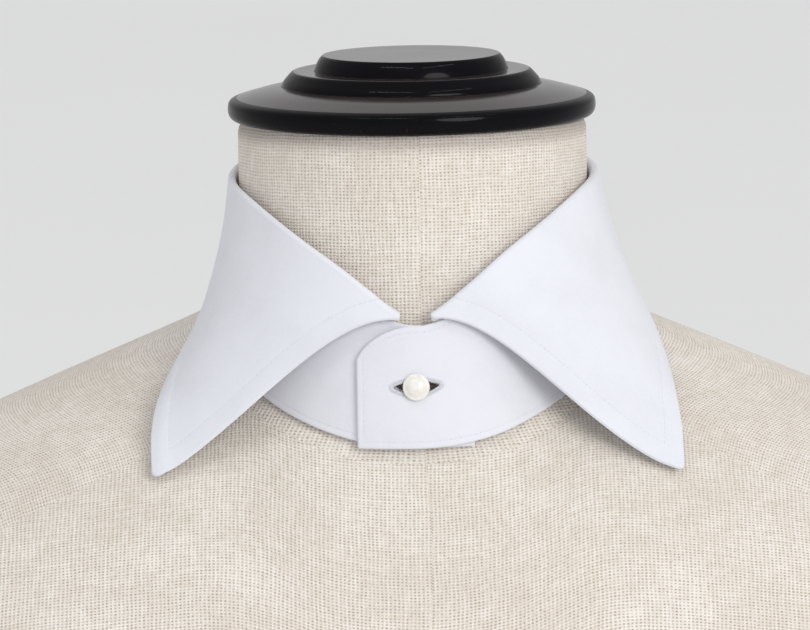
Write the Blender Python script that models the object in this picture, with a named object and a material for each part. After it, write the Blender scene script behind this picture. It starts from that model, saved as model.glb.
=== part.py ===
"""Detachable shirt collar worn on a limbless dress form. Metres, +Z up, front towards -Y."""
import math

import bmesh
import bpy
import numpy as np

MM = 0.001

# Sizes in millimetres, with heights taken from the neck top.
# Azimuths are degrees round the neck: 0 at the back, +90 at +X, 180 in front.
NECK_TOP = 335.0      # height of the neck top above the table
AIR = 0.3             # air kept between two pieces
BAND_WALL = 1.5
LEAF_WALL = 1.4
LEAF_START = AIR + 0.25   # the edges at the seam slant, and the narrow side keeps the air
LEAF_END = 174.5      # azimuth where the leaf ends on each side of the front
ROLL_RADIUS = 1.3     # middle of the cloth where the leaf turns over
ROLL_CHANGE = {-1: 0.65, 1: -0.15}    # added to the roll at each front end, by side
SLANT_FROM = 100.0    # azimuth from which the leaf's cuts slant towards its points
SLANT_TURN = 80.0     # degrees by which they have turned at the front ends
LEAVE_OUT = 0.16      # outward share of the leaf's direction as it leaves the roll
LEAVE_LESS = 0.08     # less of it on the -X side, where the leaf lies closer
LEAVE_RAMP = (20.0, 80.0)             # azimuths over which that begins
ARRIVE_OUT = 0.10     # and as it reaches its outer edge
SLUMP = {-1: 0.16, 1: 0.30}           # upward share at the points, where the cloth lies flatter
REACH = 0.33          # how far both directions hold, as a share of the fall
REACH_LOSS = 0.09     # less of it at the front ends
OVERLAP_X = 19.0      # each end of the band passes the centre front by this much
END_ROUND = 15.0      # height of the rounded upper corner at each end of the band
LAP_STEP = BAND_WALL + 0.4    # the end on the +X side lies this far outside the other one
LAP_RAMP = (143.0, 161.0)     # azimuths over which it moves out
HOLE_MIDDLE = 0.5     # height of the buttonholes, as a share of the band
HOLE_ROWS = 0.045     # the rows beside the middle one, away from the buttonholes
HOLE_ANGLE = 6.6      # half length of a buttonhole as an azimuth
HOLE_TIP = 0.4        # half height at its ends
STUD_HEAD, STUD_SHANK, STUD_DISC = 4.3, 1.6, 3.6
STUD_LIFT = 0.14      # the leaning stud passes the middle of both buttonholes
CAP_SIDES, FORM_SIDES, STUD_SIDES = 56, 56, 20
FORM_RINGS = 34
BAND_STEPS = (13.0, 166.0, 22)        # first and last azimuth between two buttonholes, and columns
BAND_ROWS = (0, 0.15, 0.3, HOLE_MIDDLE - HOLE_ROWS, HOLE_MIDDLE, HOLE_MIDDLE + HOLE_ROWS, 0.7, 0.85, 1)
ROUND_STEPS = (33, 44, 55, 67, 79, 90)    # angles along the rounded corner at each end

# Buttonholes; the front ones are held open by the stud
HOLES = [
    ("azimuth", "half_height"),
    (0, 0.7),
    (-180, 2.15),
    (180, 2.15)]

# Rings of the band at its lower and upper edge
BAND_RINGS = [
    ("edge", "half_width", "front", "back"),
    ("lower", 66.1, 71.3, 67.6),
    ("upper", 58.6, 65.5, 59.6)]

# Drops below the neck top, and how far the leaf rises above the band before it turns over
BAND = [
    ("azimuth", "lower_drop", "upper_drop", "roll_rise"),
    (0, 54.8, 18.0, 6.0),
    (30, 54.4, 18.7, 6.0),
    (60, 55.8, 20.5, 6.0),
    (90, 64.2, 23.5, 6.5),
    (115, 75.0, 28.5, 8.0),
    (135, 85.2, 36.5, 8.0),
    (152, 92.2, 45.5, 7.0),
    (168, 96.3, 55.2, 4.4),
    (180, 97.3, 59.0, 2.6)]

# Outer edge of the leaf; lean moves both sides towards +X, as it is worn
LEAF_EDGE = [
    ("azimuth", "out", "y", "drop", "lean"),
    (0, 0.0, 76.0, 59.8, 0.0),
    (30, 37.0, 65.5, 59.8, 1.5),
    (60, 62.7, 38.5, 60.0, 2.1),
    (85, 72.4, 8.0, 64.2, 2.8),
    (105, 76.4, -13.0, 70.0, 2.8),
    (125, 80.8, -29.0, 78.5, 1.9),
    (143, 84.0, -42.0, 87.5, 1.0),
    (160, 85.6, -53.0, 97.5, 0.6),
    (174.5, 85.0, -62.5, 107.0, 0.5)]

# Rings of the dress form; square is the power of the outline
FORM = [
    ("ring", "half_width", "front", "back", "front_drop", "side_drop", "back_drop", "square"),
    ("neck_top", 57.2, 57.2, 57.2, AIR, AIR, AIR, 2.0),
    ("neck_high", 57.2, 57.6, 57.2, 12.0, 8.5, 8.0, 2.0),
    ("neck_middle", 57.3, 59.5, 57.4, 40.0, 28.0, 22.0, 2.0),
    ("neck_low", 57.6, 62.4, 58.4, 72.0, 47.0, 38.0, 2.0),
    ("neck_base", 60.8, 66.8, 62.0, 94.0, 61.5, 50.5, 2.0),
    ("collar_bone", 72.0, 74.0, 70.0, 108.5, 73.0, 62.5, 2.2),
    ("shoulder_in", 98.0, 86.0, 83.0, 121.5, 83.5, 74.5, 2.35),
    ("shoulder_mid", 140.0, 100.0, 97.0, 141.0, 99.0, 96.5, 2.35),
    ("shoulder_out", 178.0, 111.0, 107.0, 166.0, 115.0, 121.0, 2.35),
    ("shoulder_tip", 199.0, 118.0, 113.0, 193.0, 133.0, 146.0, 2.3),
    ("arm_top", 206.0, 122.0, 116.0, 216.0, 157.0, 176.0, 2.4),
    ("arm", 200.0, 124.0, 115.5, 236.0, 190.0, 204.0, 2.5),
    ("chest", 184.0, 124.0, 112.0, 260.0, 232.0, 236.0, 2.5),
    ("under_chest", 170.0, 119.5, 107.0, 292.0, 274.0, 276.0, 2.5),
    ("waist", 162.0, 113.0, 102.5, 322.0, 311.0, 312.0, 2.5),
    ("bottom", 160.0, 110.5, 101.0, 335.0, 335.0, 335.0, 2.5)]

# Turned cap, from the centre of its underside to the centre of its top
CAP = [
    ("radius", "height"),
    (58.4, 0.0), (59.6, 0.6), (60.3, 2.2), (60.3, 4.4), (59.7, 5.7), (58.2, 6.5),
    (43.2, 10.4), (42.2, 11.2), (42.3, 13.3), (41.9, 14.4), (40.8, 15.0),
    (32.2, 16.0), (31.2, 16.6), (31.9, 18.2), (31.8, 20.0), (30.8, 21.2), (28.9, 21.6)]

# Stud on its own axis; the height is measured outwards from the middle of the outer wall
STUD = [
    ("radius", "height"),
    (STUD_DISC - 0.4, -4.05), (STUD_DISC, -3.7), (STUD_DISC, -3.3), (STUD_DISC - 0.3, -3.05),
    (STUD_SHANK, -3.05), (STUD_SHANK, 1.1), (STUD_HEAD - 0.4, 1.1), (STUD_HEAD, 1.5),
    (STUD_HEAD - 0.1, 1.95), (3.5, 2.75), (2.3, 3.35), (1.1, 3.65)]


def column(table, name):
    k = table[0].index(name)
    return np.array([row[k] for row in table[1:]], float)


def spline(xs, ys, slope_first=None, slope_last=None):
    """Smooth curve through the points of a table; an end with no slope given is left free."""
    n, step = len(xs), np.diff(xs)
    rise = np.diff(ys) / step
    a, b = np.zeros((n, n)), np.zeros(n)
    a[0, :2], b[0] = ((2, 1), 3 * rise[0]) if slope_first is None else ((1, 0), slope_first)
    a[-1, -2:], b[-1] = ((1, 2), 3 * rise[-1]) if slope_last is None else ((0, 1), slope_last)
    for i in range(1, n - 1):
        a[i, i - 1:i + 2] = step[i], 2 * (step[i - 1] + step[i]), step[i - 1]
        b[i] = 3 * (step[i] * rise[i - 1] + step[i - 1] * rise[i])
    m = np.linalg.solve(a, b)

    def value(x):
        x = np.asarray(x, float)
        i = np.clip(np.searchsorted(xs, x) - 1, 0, n - 2)
        t = (x - xs[i]) / step[i]
        return ((2 * t**3 - 3 * t**2 + 1) * ys[i] + (t**3 - 2 * t**2 + t) * step[i] * m[i]
                + (3 * t**2 - 2 * t**3) * ys[i + 1] + (t**3 - t**2) * step[i] * m[i + 1])
    return value


def band_curve(name):
    return spline(column(BAND, "azimuth"), column(BAND, name), 0.0, 0.0)


def edge_curve(name, *slopes):
    return spline(column(LEAF_EDGE, "azimuth"), column(LEAF_EDGE, name), *slopes)


LOWER_DROP, UPPER_DROP, ROLL_RISE = (band_curve(n) for n in ("lower_drop", "upper_drop", "roll_rise"))
EDGE_OUT, EDGE_LEAN = edge_curve("out"), edge_curve("lean")
EDGE_Y, EDGE_DROP = edge_curve("y", 0.0), edge_curve("drop", 0.0)


def unit(v):
    return v / np.linalg.norm(v, axis=-1, keepdims=True)


def smoothstep(x, low, high):
    t = np.clip((x - low) / (high - low), 0, 1)
    return t * t * (3 - 2 * t)


def ring_sizes(share):
    rings = [column(BAND_RINGS, n) for n in ("half_width", "front", "back")]
    return [lower + (upper - lower) * share for lower, upper in rings]


def band_point(w, v):
    """Middle of the band's cloth at azimuth w and height share v, 0 at its lower edge."""
    w, v = np.broadcast_arrays(np.asarray(w, float), np.asarray(v, float))
    flat = 180 - np.abs(180 - np.abs(w))
    low, high = LOWER_DROP(flat), UPPER_DROP(flat)
    end = math.degrees(math.asin(OVERLAP_X / ring_sizes(0.5)[0]))
    past = np.clip((np.abs(w) - 180) / end, 0, 1)
    top = HOLE_MIDDLE + HOLE_ROWS
    tuck = END_ROUND * (1 - np.sqrt(1 - past**2)) * np.clip((v - top) / (1 - top), 0, 1)
    ahead = LOWER_DROP(180.0) * (1 - v) + UPPER_DROP(180.0) * v + tuck
    drop = np.where(past > 0, ahead, low * (1 - v) + high * v)
    half_width, front, back = ring_sizes((low - drop) / (low - high))
    sin, cos = np.sin(np.radians(w)), np.cos(np.radians(w))
    x, y = half_width * sin, np.where(cos > 0, back, front) * cos
    out = 1 + LAP_STEP * smoothstep(w, *LAP_RAMP) / np.hypot(x, y)
    return np.stack([x * out, y * out, -drop], -1)


def along(grid, axis):
    """Direction of a grid of points along one axis, the mean of the steps before and after."""
    step = unit(np.diff(grid, axis=axis))
    first, last = np.take(step, [0], axis), np.take(step, [-1], axis)
    return unit(np.concatenate([first, step], axis) + np.concatenate([step, last], axis))


def leaf_sections(w, rows):
    """Middle of the leaf's cloth: up from the band, over the roll and down to the outer edge."""
    w = np.asarray(w, float)
    side = np.where(w < 0, -1.0, 1.0)
    seam = band_point(w, 1.0)
    run = unit(band_point(w + 0.5, 1.0) - band_point(w - 0.5, 1.0))
    out = unit(seam * (1, 1, 0))
    out = unit(out - run * np.sum(out * run, -1, keepdims=True))
    up = np.cross(out, run)
    up *= np.sign(up[:, 2:])
    slant = np.clip((np.abs(w) - SLANT_FROM) / (LEAF_END - SLANT_FROM), 0, 1)
    radius = ROLL_RADIUS + np.where(w < 0, ROLL_CHANGE[-1], ROLL_CHANGE[1]) * slant**4
    rise = ROLL_RISE(np.abs(w)) - radius
    edge = np.stack([side * EDGE_OUT(np.abs(w)) + EDGE_LEAN(np.abs(w)), EDGE_Y(np.abs(w)),
                     -EDGE_DROP(np.abs(w))], -1)
    radius, rise, slant, side = (a[:, None] for a in (radius, rise, slant, side))
    line = [seam + up * LEAF_START, seam + up * rise]
    for k in range(1, 6):
        turn = math.pi * k / 6
        line.append(seam + up * (rise + radius * math.sin(turn)) + out * radius * (1 - math.cos(turn)))
    start = seam + up * rise + out * 2 * radius
    length = np.linalg.norm(edge - start, axis=-1, keepdims=True)
    less = np.where(w < 0, LEAVE_LESS, 0) * smoothstep(np.abs(w), *LEAVE_RAMP)
    leave = unit(out * (LEAVE_OUT - less[:, None]) - up)
    turn = np.radians(SLANT_TURN) * slant**4
    leave = unit(leave * np.cos(turn) - run * side * np.sin(turn))
    slump = np.where(side < 0, SLUMP[-1], SLUMP[1]) * slant**3
    arrive = unit(unit(edge - start) + out * ARRIVE_OUT + slump * (0, 0, 1))
    first = start + leave * length * (REACH - REACH_LOSS * slant**3)
    second = edge - arrive * length * REACH
    for k in range(rows + 1):
        t = k / rows
        line.append((1 - t)**3 * start + 3 * (1 - t)**2 * t * first + 3 * (1 - t) * t**2 * second
                    + t**3 * edge)
    return np.stack(line, 1)


def leaf_azimuths(count):
    """Azimuths from one end of the leaf to the other, closer together towards the front."""
    t = np.linspace(-1, 1, count)
    return LEAF_END * np.sign(t) * (1.45 * np.abs(t) - 0.45 * t * t)


def band_grid():
    """Grid of the band's middle, with the buttonholes drawn into the rows beside the middle one."""
    rows = np.array(BAND_ROWS)
    hole = np.array([0, HOLE_ANGLE / 2, HOLE_ANGLE])
    half = np.concatenate([hole, np.linspace(*BAND_STEPS), (180 - hole)[::-1]])
    reach = np.degrees(np.arcsin(OVERLAP_X / ring_sizes(rows)[0]))
    round_end = np.sin(np.radians(ROUND_STEPS))
    past = 180 + reach * np.append(hole[1:] / reach.mean(), round_end)[:, None]
    right = np.vstack([half[:, None] + 0 * rows, past])
    azimuths = np.vstack([-right[:0:-1], right])
    shares = np.tile(rows, (len(azimuths), 1))
    open_cells = set()
    for middle, half_height in HOLES[1:]:
        height = np.linalg.norm(band_point(middle, 1.0) - band_point(middle, 0.0))
        away = np.abs(azimuths[:, 4] - middle) / HOLE_ANGLE
        inside = np.where(away < 1.01)[0]
        opening = (HOLE_TIP + (half_height - HOLE_TIP) * (1 - away[inside]**2)) / height
        shares[inside, 3], shares[inside, 5] = HOLE_MIDDLE - opening, HOLE_MIDDLE + opening
        open_cells.update((i, j) for i in inside[:-1] for j in (3, 4))
    return band_point(azimuths, shares), open_cells


def form_rings(count):
    """Rings of the dress form on a smooth curve through its table."""
    rows = np.array([row[1:] for row in FORM[1:]], float)
    rows = np.vstack([2 * rows[0] - rows[1], rows, 2 * rows[-1] - rows[-2]])
    place = np.linspace(0, len(rows) - 3, count)
    i = np.minimum(place.astype(int), len(rows) - 4)
    t = (place - i)[:, None]
    return ((1 - t)**3 * rows[i] + (3 * t**3 - 6 * t**2 + 4) * rows[i + 1]
            + (-3 * t**3 + 3 * t**2 + 3 * t + 1) * rows[i + 2] + t**3 * rows[i + 3]) / 6


def form_grid(rings, sides):
    w = np.radians(np.arange(sides) * 360 / sides)
    half_width, front, back, front_drop, side_drop, back_drop, square = form_rings(rings).T[..., None]
    sin, cos = np.sin(w), np.cos(w)
    x = half_width * np.abs(sin)**(2 / square) * np.sign(sin)
    deep = np.abs(cos)**(2 / square) * np.sign(cos)
    drop = (side_drop + (back_drop - front_drop) / 2 * deep
            + ((back_drop + front_drop) / 2 - side_drop) * deep**2)
    return np.stack([x, np.where(cos > 0, back, front) * deep, -drop], -1)


def turned(profile, sides):
    radius, height = column(profile, "radius"), column(profile, "height")
    w = np.radians(np.arange(sides) * 360 / sides)
    return np.stack([radius[:, None] * np.cos(w), radius[:, None] * np.sin(w),
                     height[:, None] + 0 * w], -1)


def add_object(name, points, faces, material, smooth_angle):
    mesh = bpy.data.meshes.new(name)
    mesh.from_pydata([tuple(p) for p in points * MM], [], faces)
    bm = bmesh.new()
    bm.from_mesh(mesh)
    bmesh.ops.recalc_face_normals(bm, faces=bm.faces)
    if bm.calc_volume() < 0:
        bmesh.ops.reverse_faces(bm, faces=bm.faces)
    bm.to_mesh(mesh)
    bm.free()
    mesh.materials.append(material)
    mesh.shade_smooth()
    mesh.set_sharp_from_angle(angle=math.radians(smooth_angle))
    obj = bpy.data.objects.new(name, mesh)
    bpy.context.collection.objects.link(obj)
    return obj


def cloth_wall(name, middle, wall, material, open_cells=()):
    """Closed wall of one thickness about a grid of points; cells left open become holes."""
    normal = unit(np.cross(along(middle, 0), along(middle, 1)))
    count, rows = middle.shape[:2]
    sides = [middle + normal * wall / 2, middle - normal * wall / 2]
    points = np.concatenate([s.reshape(-1, 3) for s in sides])
    kept = {(i, j) for i in range(count - 1) for j in range(rows - 1)} - set(open_cells)
    far = count * rows
    faces = []
    for i, j in sorted(kept):
        a, b, c, d = (i * rows + j, (i + 1) * rows + j, (i + 1) * rows + j + 1, i * rows + j + 1)
        faces.append((a, b, c, d))
        faces.append((d + far, c + far, b + far, a + far))
        for p, q, beside in ((a, b, (i, j - 1)), (b, c, (i + 1, j)), (c, d, (i, j + 1)),
                             (d, a, (i - 1, j))):
            if beside not in kept:
                faces.append((q, p, p + far, q + far))
    used = sorted({k for face in faces for k in face})
    place = {k: n for n, k in enumerate(used)}
    return add_object(name, points[used], [tuple(place[k] for k in face) for face in faces],
                      material, 50)


def solid_of_rings(name, grid, material, smooth_angle):
    """Closed solid through a stack of rings, with a flat face at each end."""
    rings, sides = grid.shape[:2]
    faces = [tuple(range(sides)), tuple((rings - 1) * sides + k for k in range(sides))]
    for i in range(rings - 1):
        for k in range(sides):
            n = (k + 1) % sides
            faces.append((i * sides + k, i * sides + n, (i + 1) * sides + n, (i + 1) * sides + k))
    return add_object(name, grid.reshape(-1, 3), faces, material, smooth_angle)


def paint(name, colour, roughness, coat=0.0):
    material = bpy.data.materials.new(name)
    material.use_nodes = True
    shader = material.node_tree.nodes["Principled BSDF"]
    shader.inputs["Base Color"].default_value = (*colour, 1)
    shader.inputs["Roughness"].default_value = roughness
    shader.inputs["Coat Weight"].default_value = coat
    return material


def add_stud(material):
    """The stud stands square to the band at the centre front."""
    stud = solid_of_rings("front_stud", turned(STUD, STUD_SIDES), material, 35)
    rise = band_point(180.0, 1.0) - band_point(180.0, 0.0)
    stud.location = (band_point(180.0, HOLE_MIDDLE) + (0, 0, STUD_LIFT)) * MM
    stud.rotation_euler.x = math.atan2(rise[2], rise[1])
    return stud


def main():
    for obj in list(bpy.data.objects):
        bpy.data.objects.remove(obj, do_unlink=True)
    linen = paint("undyed_linen", (0.72, 0.64, 0.52), 0.9)
    lacquer = paint("black_lacquered_wood", (0.012, 0.011, 0.012), 0.25, 0.6)
    cotton = paint("white_cotton", (0.86, 0.87, 0.90), 0.75)
    pearl = paint("white_stud", (0.85, 0.84, 0.80), 0.3)
    band, open_cells = band_grid()
    pieces = [
        solid_of_rings("form_body", form_grid(FORM_RINGS, FORM_SIDES), linen, 40),
        solid_of_rings("form_cap", turned(CAP, CAP_SIDES), lacquer, 35),
        cloth_wall("collar_band", band, BAND_WALL, cotton, open_cells),
        cloth_wall("collar_leaf", leaf_sections(leaf_azimuths(65), 12), LEAF_WALL, cotton),
        add_stud(pearl)]
    neck = bpy.data.objects.new("neck_top", None)
    neck.location.z = NECK_TOP * MM
    bpy.context.collection.objects.link(neck)
    for piece in pieces:
        piece.parent = neck


main()
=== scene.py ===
# %% [markdown]
# # A detachable shirt collar on a dress form
#
# The collar is two sewn pieces of white cotton. The band stands round the neck and closes in front with
# a stud, and the leaf is sewn to its upper edge, rolls over and falls to two points. It is worn on a
# dress form covered in coarse linen, with a turned black cap on its neck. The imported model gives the
# true place of every piece. This script dresses it: finer cloth, stitches, weave, lacquer and light.

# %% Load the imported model
import math

import bmesh
import bpy
import numpy as np
from mathutils import Matrix, Vector


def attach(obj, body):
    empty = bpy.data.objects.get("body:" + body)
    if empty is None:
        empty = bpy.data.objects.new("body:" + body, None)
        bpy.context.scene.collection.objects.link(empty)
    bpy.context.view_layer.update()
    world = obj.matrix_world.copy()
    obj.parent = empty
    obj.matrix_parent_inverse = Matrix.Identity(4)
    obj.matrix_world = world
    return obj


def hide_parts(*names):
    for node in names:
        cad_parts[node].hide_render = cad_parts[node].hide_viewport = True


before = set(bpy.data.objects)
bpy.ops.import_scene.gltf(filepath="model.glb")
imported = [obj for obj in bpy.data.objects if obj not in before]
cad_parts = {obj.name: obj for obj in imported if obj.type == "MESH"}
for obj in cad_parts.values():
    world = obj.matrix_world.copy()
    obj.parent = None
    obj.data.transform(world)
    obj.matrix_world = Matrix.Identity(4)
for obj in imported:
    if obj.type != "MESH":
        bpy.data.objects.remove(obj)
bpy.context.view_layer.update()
print("nodes:", sorted(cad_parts))

# %% [markdown]
# ## Measures
#
# Cloth is drawn in millimetres from the top of the neck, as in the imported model, because all its sizes
# are small. Azimuth 0 is the back of the neck, +90 is the wearer's left and 180 is the front. One helper
# turns a list of points and faces into a piece whose place is in its mesh.

# %% Sizes and the mesh helper
MM = 0.001
NECK_TOP = 335.0


def new_piece(name, points, faces, finish=None, smooth_angle=40, uv=None):
    """Mesh piece from points in millimetres below the neck top; uv holds metres for every face corner."""
    mesh = bpy.data.meshes.new(name)
    placed = np.asarray(points, float) * MM + (0, 0, NECK_TOP * MM)
    mesh.from_pydata(placed.tolist(), [], faces)
    if uv is not None:
        layer = mesh.uv_layers.new(name="cloth")
        layer.data.foreach_set("uv", np.asarray(uv, np.float32).ravel())
    if faces:
        mesh.shade_smooth()
        mesh.set_sharp_from_angle(angle=math.radians(smooth_angle))
    if finish:
        mesh.materials.append(finish)
    piece = bpy.data.objects.new(name, mesh)
    bpy.context.collection.objects.link(piece)
    return piece


# %% [markdown]
# ## Helpers for finishes
#
# Every finish is a small node tree on the Principled shader. Patterns follow the cloth's own UV map,
# which holds real metres, so that a weave keeps the same size on every piece.

# %% A short way to write node trees
class Finish:
    def __init__(self, name, roughness, **fixed):
        self.material = bpy.data.materials.new(name)
        self.material.use_nodes = True
        self.tree = self.material.node_tree
        self.shader = self.tree.nodes["Principled BSDF"]
        self.shader.inputs["Roughness"].default_value = roughness
        for socket, value in fixed.items():
            self.shader.inputs[socket.replace("_", " ")].default_value = value

    def node(self, kind, inputs=(), **settings):
        node = self.tree.nodes.new("ShaderNode" + kind)
        for key, value in settings.items():
            setattr(node, key, value)
        for key, value in dict(inputs).items():
            if isinstance(value, bpy.types.NodeSocket):
                self.tree.links.new(value, node.inputs[key])
            else:
                node.inputs[key].default_value = value
        return node

    def maths(self, operation, a, b=0.0, c=0.0):
        return self.node("Math", {0: a, 1: b, 2: c}, operation=operation).outputs[0]

    def ramp(self, value, low, high, out_low=0.0, out_high=1.0):
        return self.node("MapRange", {0: value, 1: low, 2: high, 3: out_low, 4: out_high},
                         interpolation_type="SMOOTHSTEP").outputs[0]

    def mix(self, share, first, second):
        return self.node("Mix", {0: share, 6: first, 7: second}, data_type="RGBA").outputs[2]

    def noise(self, place, scale, detail=2.0, roughness=0.5):
        return self.node("TexNoise", {"Vector": place, "Scale": scale, "Detail": detail,
                                      "Roughness": roughness}).outputs["Fac"]

    def colour(self, socket):
        self.tree.links.new(socket, self.shader.inputs["Base Color"])

    def rough(self, socket):
        self.tree.links.new(socket, self.shader.inputs["Roughness"])

    def bump(self, height, distance, strength=1.0):
        bump = self.node("Bump", {"Height": height, "Distance": distance, "Strength": strength})
        self.tree.links.new(bump.outputs[0], self.shader.inputs["Normal"])


# %% [markdown]
# ## White cotton
#
# The collar is fine poplin, pressed smooth over a fused stiffener. Its threads are a third of a
# millimetre apart, so they only break up the light, and the faint clouds come from the pressing.

# %% Cotton
def cotton(name, tint, clouds):
    finish = Finish(name, 0.82, Specular_IOR_Level=0.25, Sheen_Weight=0.18, Sheen_Roughness=0.5)
    place = finish.node("UVMap", uv_map="cloth").outputs[0]
    solid = finish.node("TexCoord").outputs["Object"]
    across = finish.node("SeparateXYZ", {0: place})
    warp = finish.maths("SINE", finish.maths("MULTIPLY", across.outputs[0], math.tau / 0.00036))
    weft = finish.maths("SINE", finish.maths("MULTIPLY", across.outputs[1], math.tau / 0.00032))
    threads = finish.maths("MULTIPLY", warp, weft)
    slub = finish.noise(solid, 900.0, 3.0, 0.6)
    pressed = finish.noise(solid, 38.0, 3.0, 0.55)
    shade = finish.ramp(finish.maths("ADD", pressed, finish.maths("MULTIPLY", slub, clouds)),
                        0.35, 0.85)
    darker = tuple(0.93 * c for c in tint)
    finish.colour(finish.mix(shade, (*darker, 1), (*tint, 1)))
    finish.rough(finish.ramp(pressed, 0.3, 0.7, 0.76, 0.88))
    height = finish.maths("ADD", finish.maths("MULTIPLY", threads, 0.5),
                          finish.maths("MULTIPLY", slub, 1.6))
    finish.bump(height, 0.00003, 0.5)
    return finish.material


leaf_cotton = cotton("white_poplin", (0.80, 0.815, 0.875), 0.35)
band_cotton = cotton("white_poplin_of_the_band", (0.79, 0.80, 0.86), 0.35)


def thread(name, tint):
    finish = Finish(name, 0.6, Sheen_Weight=0.3, Specular_IOR_Level=0.35)
    solid = finish.node("TexCoord").outputs["Object"]
    twist = finish.noise(solid, 2600.0, 1.0)
    finish.colour(finish.mix(finish.ramp(twist, 0.35, 0.65), (*[0.8 * c for c in tint], 1), (*tint, 1)))
    finish.bump(twist, 0.00004, 0.6)
    return finish.material


sewing_thread = thread("white_sewing_thread", (0.80, 0.805, 0.87))
buttonhole_thread = thread("white_buttonhole_thread", (0.78, 0.785, 0.84))

# %% [markdown]
# ## The pattern pieces
#
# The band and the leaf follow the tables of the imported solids, so the fine cloth lies where the solids
# are. Real poplin is thinner than a solid can be, so on the wearer's right the roll is a little tighter
# here and the outer edge is moved by up to a millimetre. A smooth curve runs through each column.

# %% Tables of the band and the leaf
OVERLAP_X = 19.0
END_ROUND = 15.0
LAP_STEP = 1.9
LAP_RAMP = (143.0, 161.0)
HOLE_MIDDLE = 0.5
HOLE_ROWS = 0.045
HOLE_ANGLE = 6.6
HOLE_TIP = 0.4
LEAF_START = 0.7
LEAF_END = 174.5
ROLL_RADIUS = 1.3
ROLL_CHANGE = {-1: 0.65, 1: -0.15}
ROLL_TIGHTER = 0.45
ROLL_LOWER = {-1: 1.3, 1: 0.7}
SLANT_FROM = 100.0
SLANT_TURN = 80.0
LEAVE_OUT = 0.16
LEAVE_LESS = 0.08
LEAVE_RAMP = (20.0, 80.0)
ARRIVE_OUT = 0.10
SLUMP = {-1: 0.16, 1: 0.30}
REACH = 0.33
REACH_LOSS = 0.09

HOLES = [
    ("azimuth", "half_height"),
    (0, 0.7),
    (-180, 2.15),
    (180, 2.15)]

BAND_RINGS = [
    ("edge", "half_width", "front", "back"),
    ("lower", 66.1, 71.3, 67.6),
    ("upper", 58.6, 65.5, 59.6)]

BAND = [
    ("azimuth", "lower_drop", "upper_drop", "roll_rise"),
    (0, 54.8, 18.0, 6.0),
    (30, 54.4, 18.7, 6.0),
    (60, 55.8, 20.5, 6.0),
    (90, 64.2, 23.5, 6.5),
    (115, 75.0, 28.5, 8.0),
    (135, 85.2, 36.5, 8.0),
    (152, 92.2, 45.5, 7.0),
    (168, 96.3, 55.2, 4.4),
    (180, 97.3, 59.0, 2.6)]

LEAF_EDGE = [
    ("azimuth", "out", "y", "drop", "lean"),
    (0, 0.0, 76.0, 59.8, 0.0),
    (30, 37.0, 65.5, 59.8, 1.5),
    (60, 62.7, 38.5, 60.0, 2.1),
    (85, 72.4, 8.0, 64.2, 2.8),
    (105, 76.4, -13.0, 70.0, 2.5),
    (125, 80.8, -29.0, 78.5, 1.1),
    (143, 84.0, -42.0, 87.8, 0.0),
    (160, 85.4, -53.0, 97.9, -0.1),
    (174.5, 85.0, -62.5, 107.5, 0.2)]


def column(table, name):
    k = table[0].index(name)
    return np.array([row[k] for row in table[1:]], float)


def spline(xs, ys, slope_first=None, slope_last=None):
    """Smooth curve through the points of a table; an end with no slope given is left free."""
    n, step = len(xs), np.diff(xs)
    rise = np.diff(ys) / step
    a, b = np.zeros((n, n)), np.zeros(n)
    a[0, :2], b[0] = ((2, 1), 3 * rise[0]) if slope_first is None else ((1, 0), slope_first)
    a[-1, -2:], b[-1] = ((1, 2), 3 * rise[-1]) if slope_last is None else ((0, 1), slope_last)
    for i in range(1, n - 1):
        a[i, i - 1:i + 2] = step[i], 2 * (step[i - 1] + step[i]), step[i - 1]
        b[i] = 3 * (step[i] * rise[i - 1] + step[i - 1] * rise[i])
    m = np.linalg.solve(a, b)

    def value(x):
        x = np.asarray(x, float)
        i = np.clip(np.searchsorted(xs, x) - 1, 0, n - 2)
        t = (x - xs[i]) / step[i]
        return ((2 * t**3 - 3 * t**2 + 1) * ys[i] + (t**3 - 2 * t**2 + t) * step[i] * m[i]
                + (3 * t**2 - 2 * t**3) * ys[i + 1] + (t**3 - t**2) * step[i] * m[i + 1])
    return value


def band_curve(name):
    return spline(column(BAND, "azimuth"), column(BAND, name), 0.0, 0.0)


def edge_curve(name, *slopes):
    return spline(column(LEAF_EDGE, "azimuth"), column(LEAF_EDGE, name), *slopes)


LOWER_DROP, UPPER_DROP, ROLL_RISE = (band_curve(n) for n in ("lower_drop", "upper_drop", "roll_rise"))
EDGE_OUT, EDGE_LEAN = edge_curve("out"), edge_curve("lean")
EDGE_Y, EDGE_DROP = edge_curve("y", 0.0), edge_curve("drop", 0.0)


# %% Points on the band and the leaf
def unit(v):
    return v / np.linalg.norm(v, axis=-1, keepdims=True)


def smoothstep(x, low, high):
    t = np.clip((x - low) / (high - low), 0, 1)
    return t * t * (3 - 2 * t)


def ring_sizes(share):
    rings = [column(BAND_RINGS, n) for n in ("half_width", "front", "back")]
    return [lower + (upper - lower) * share for lower, upper in rings]


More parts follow.
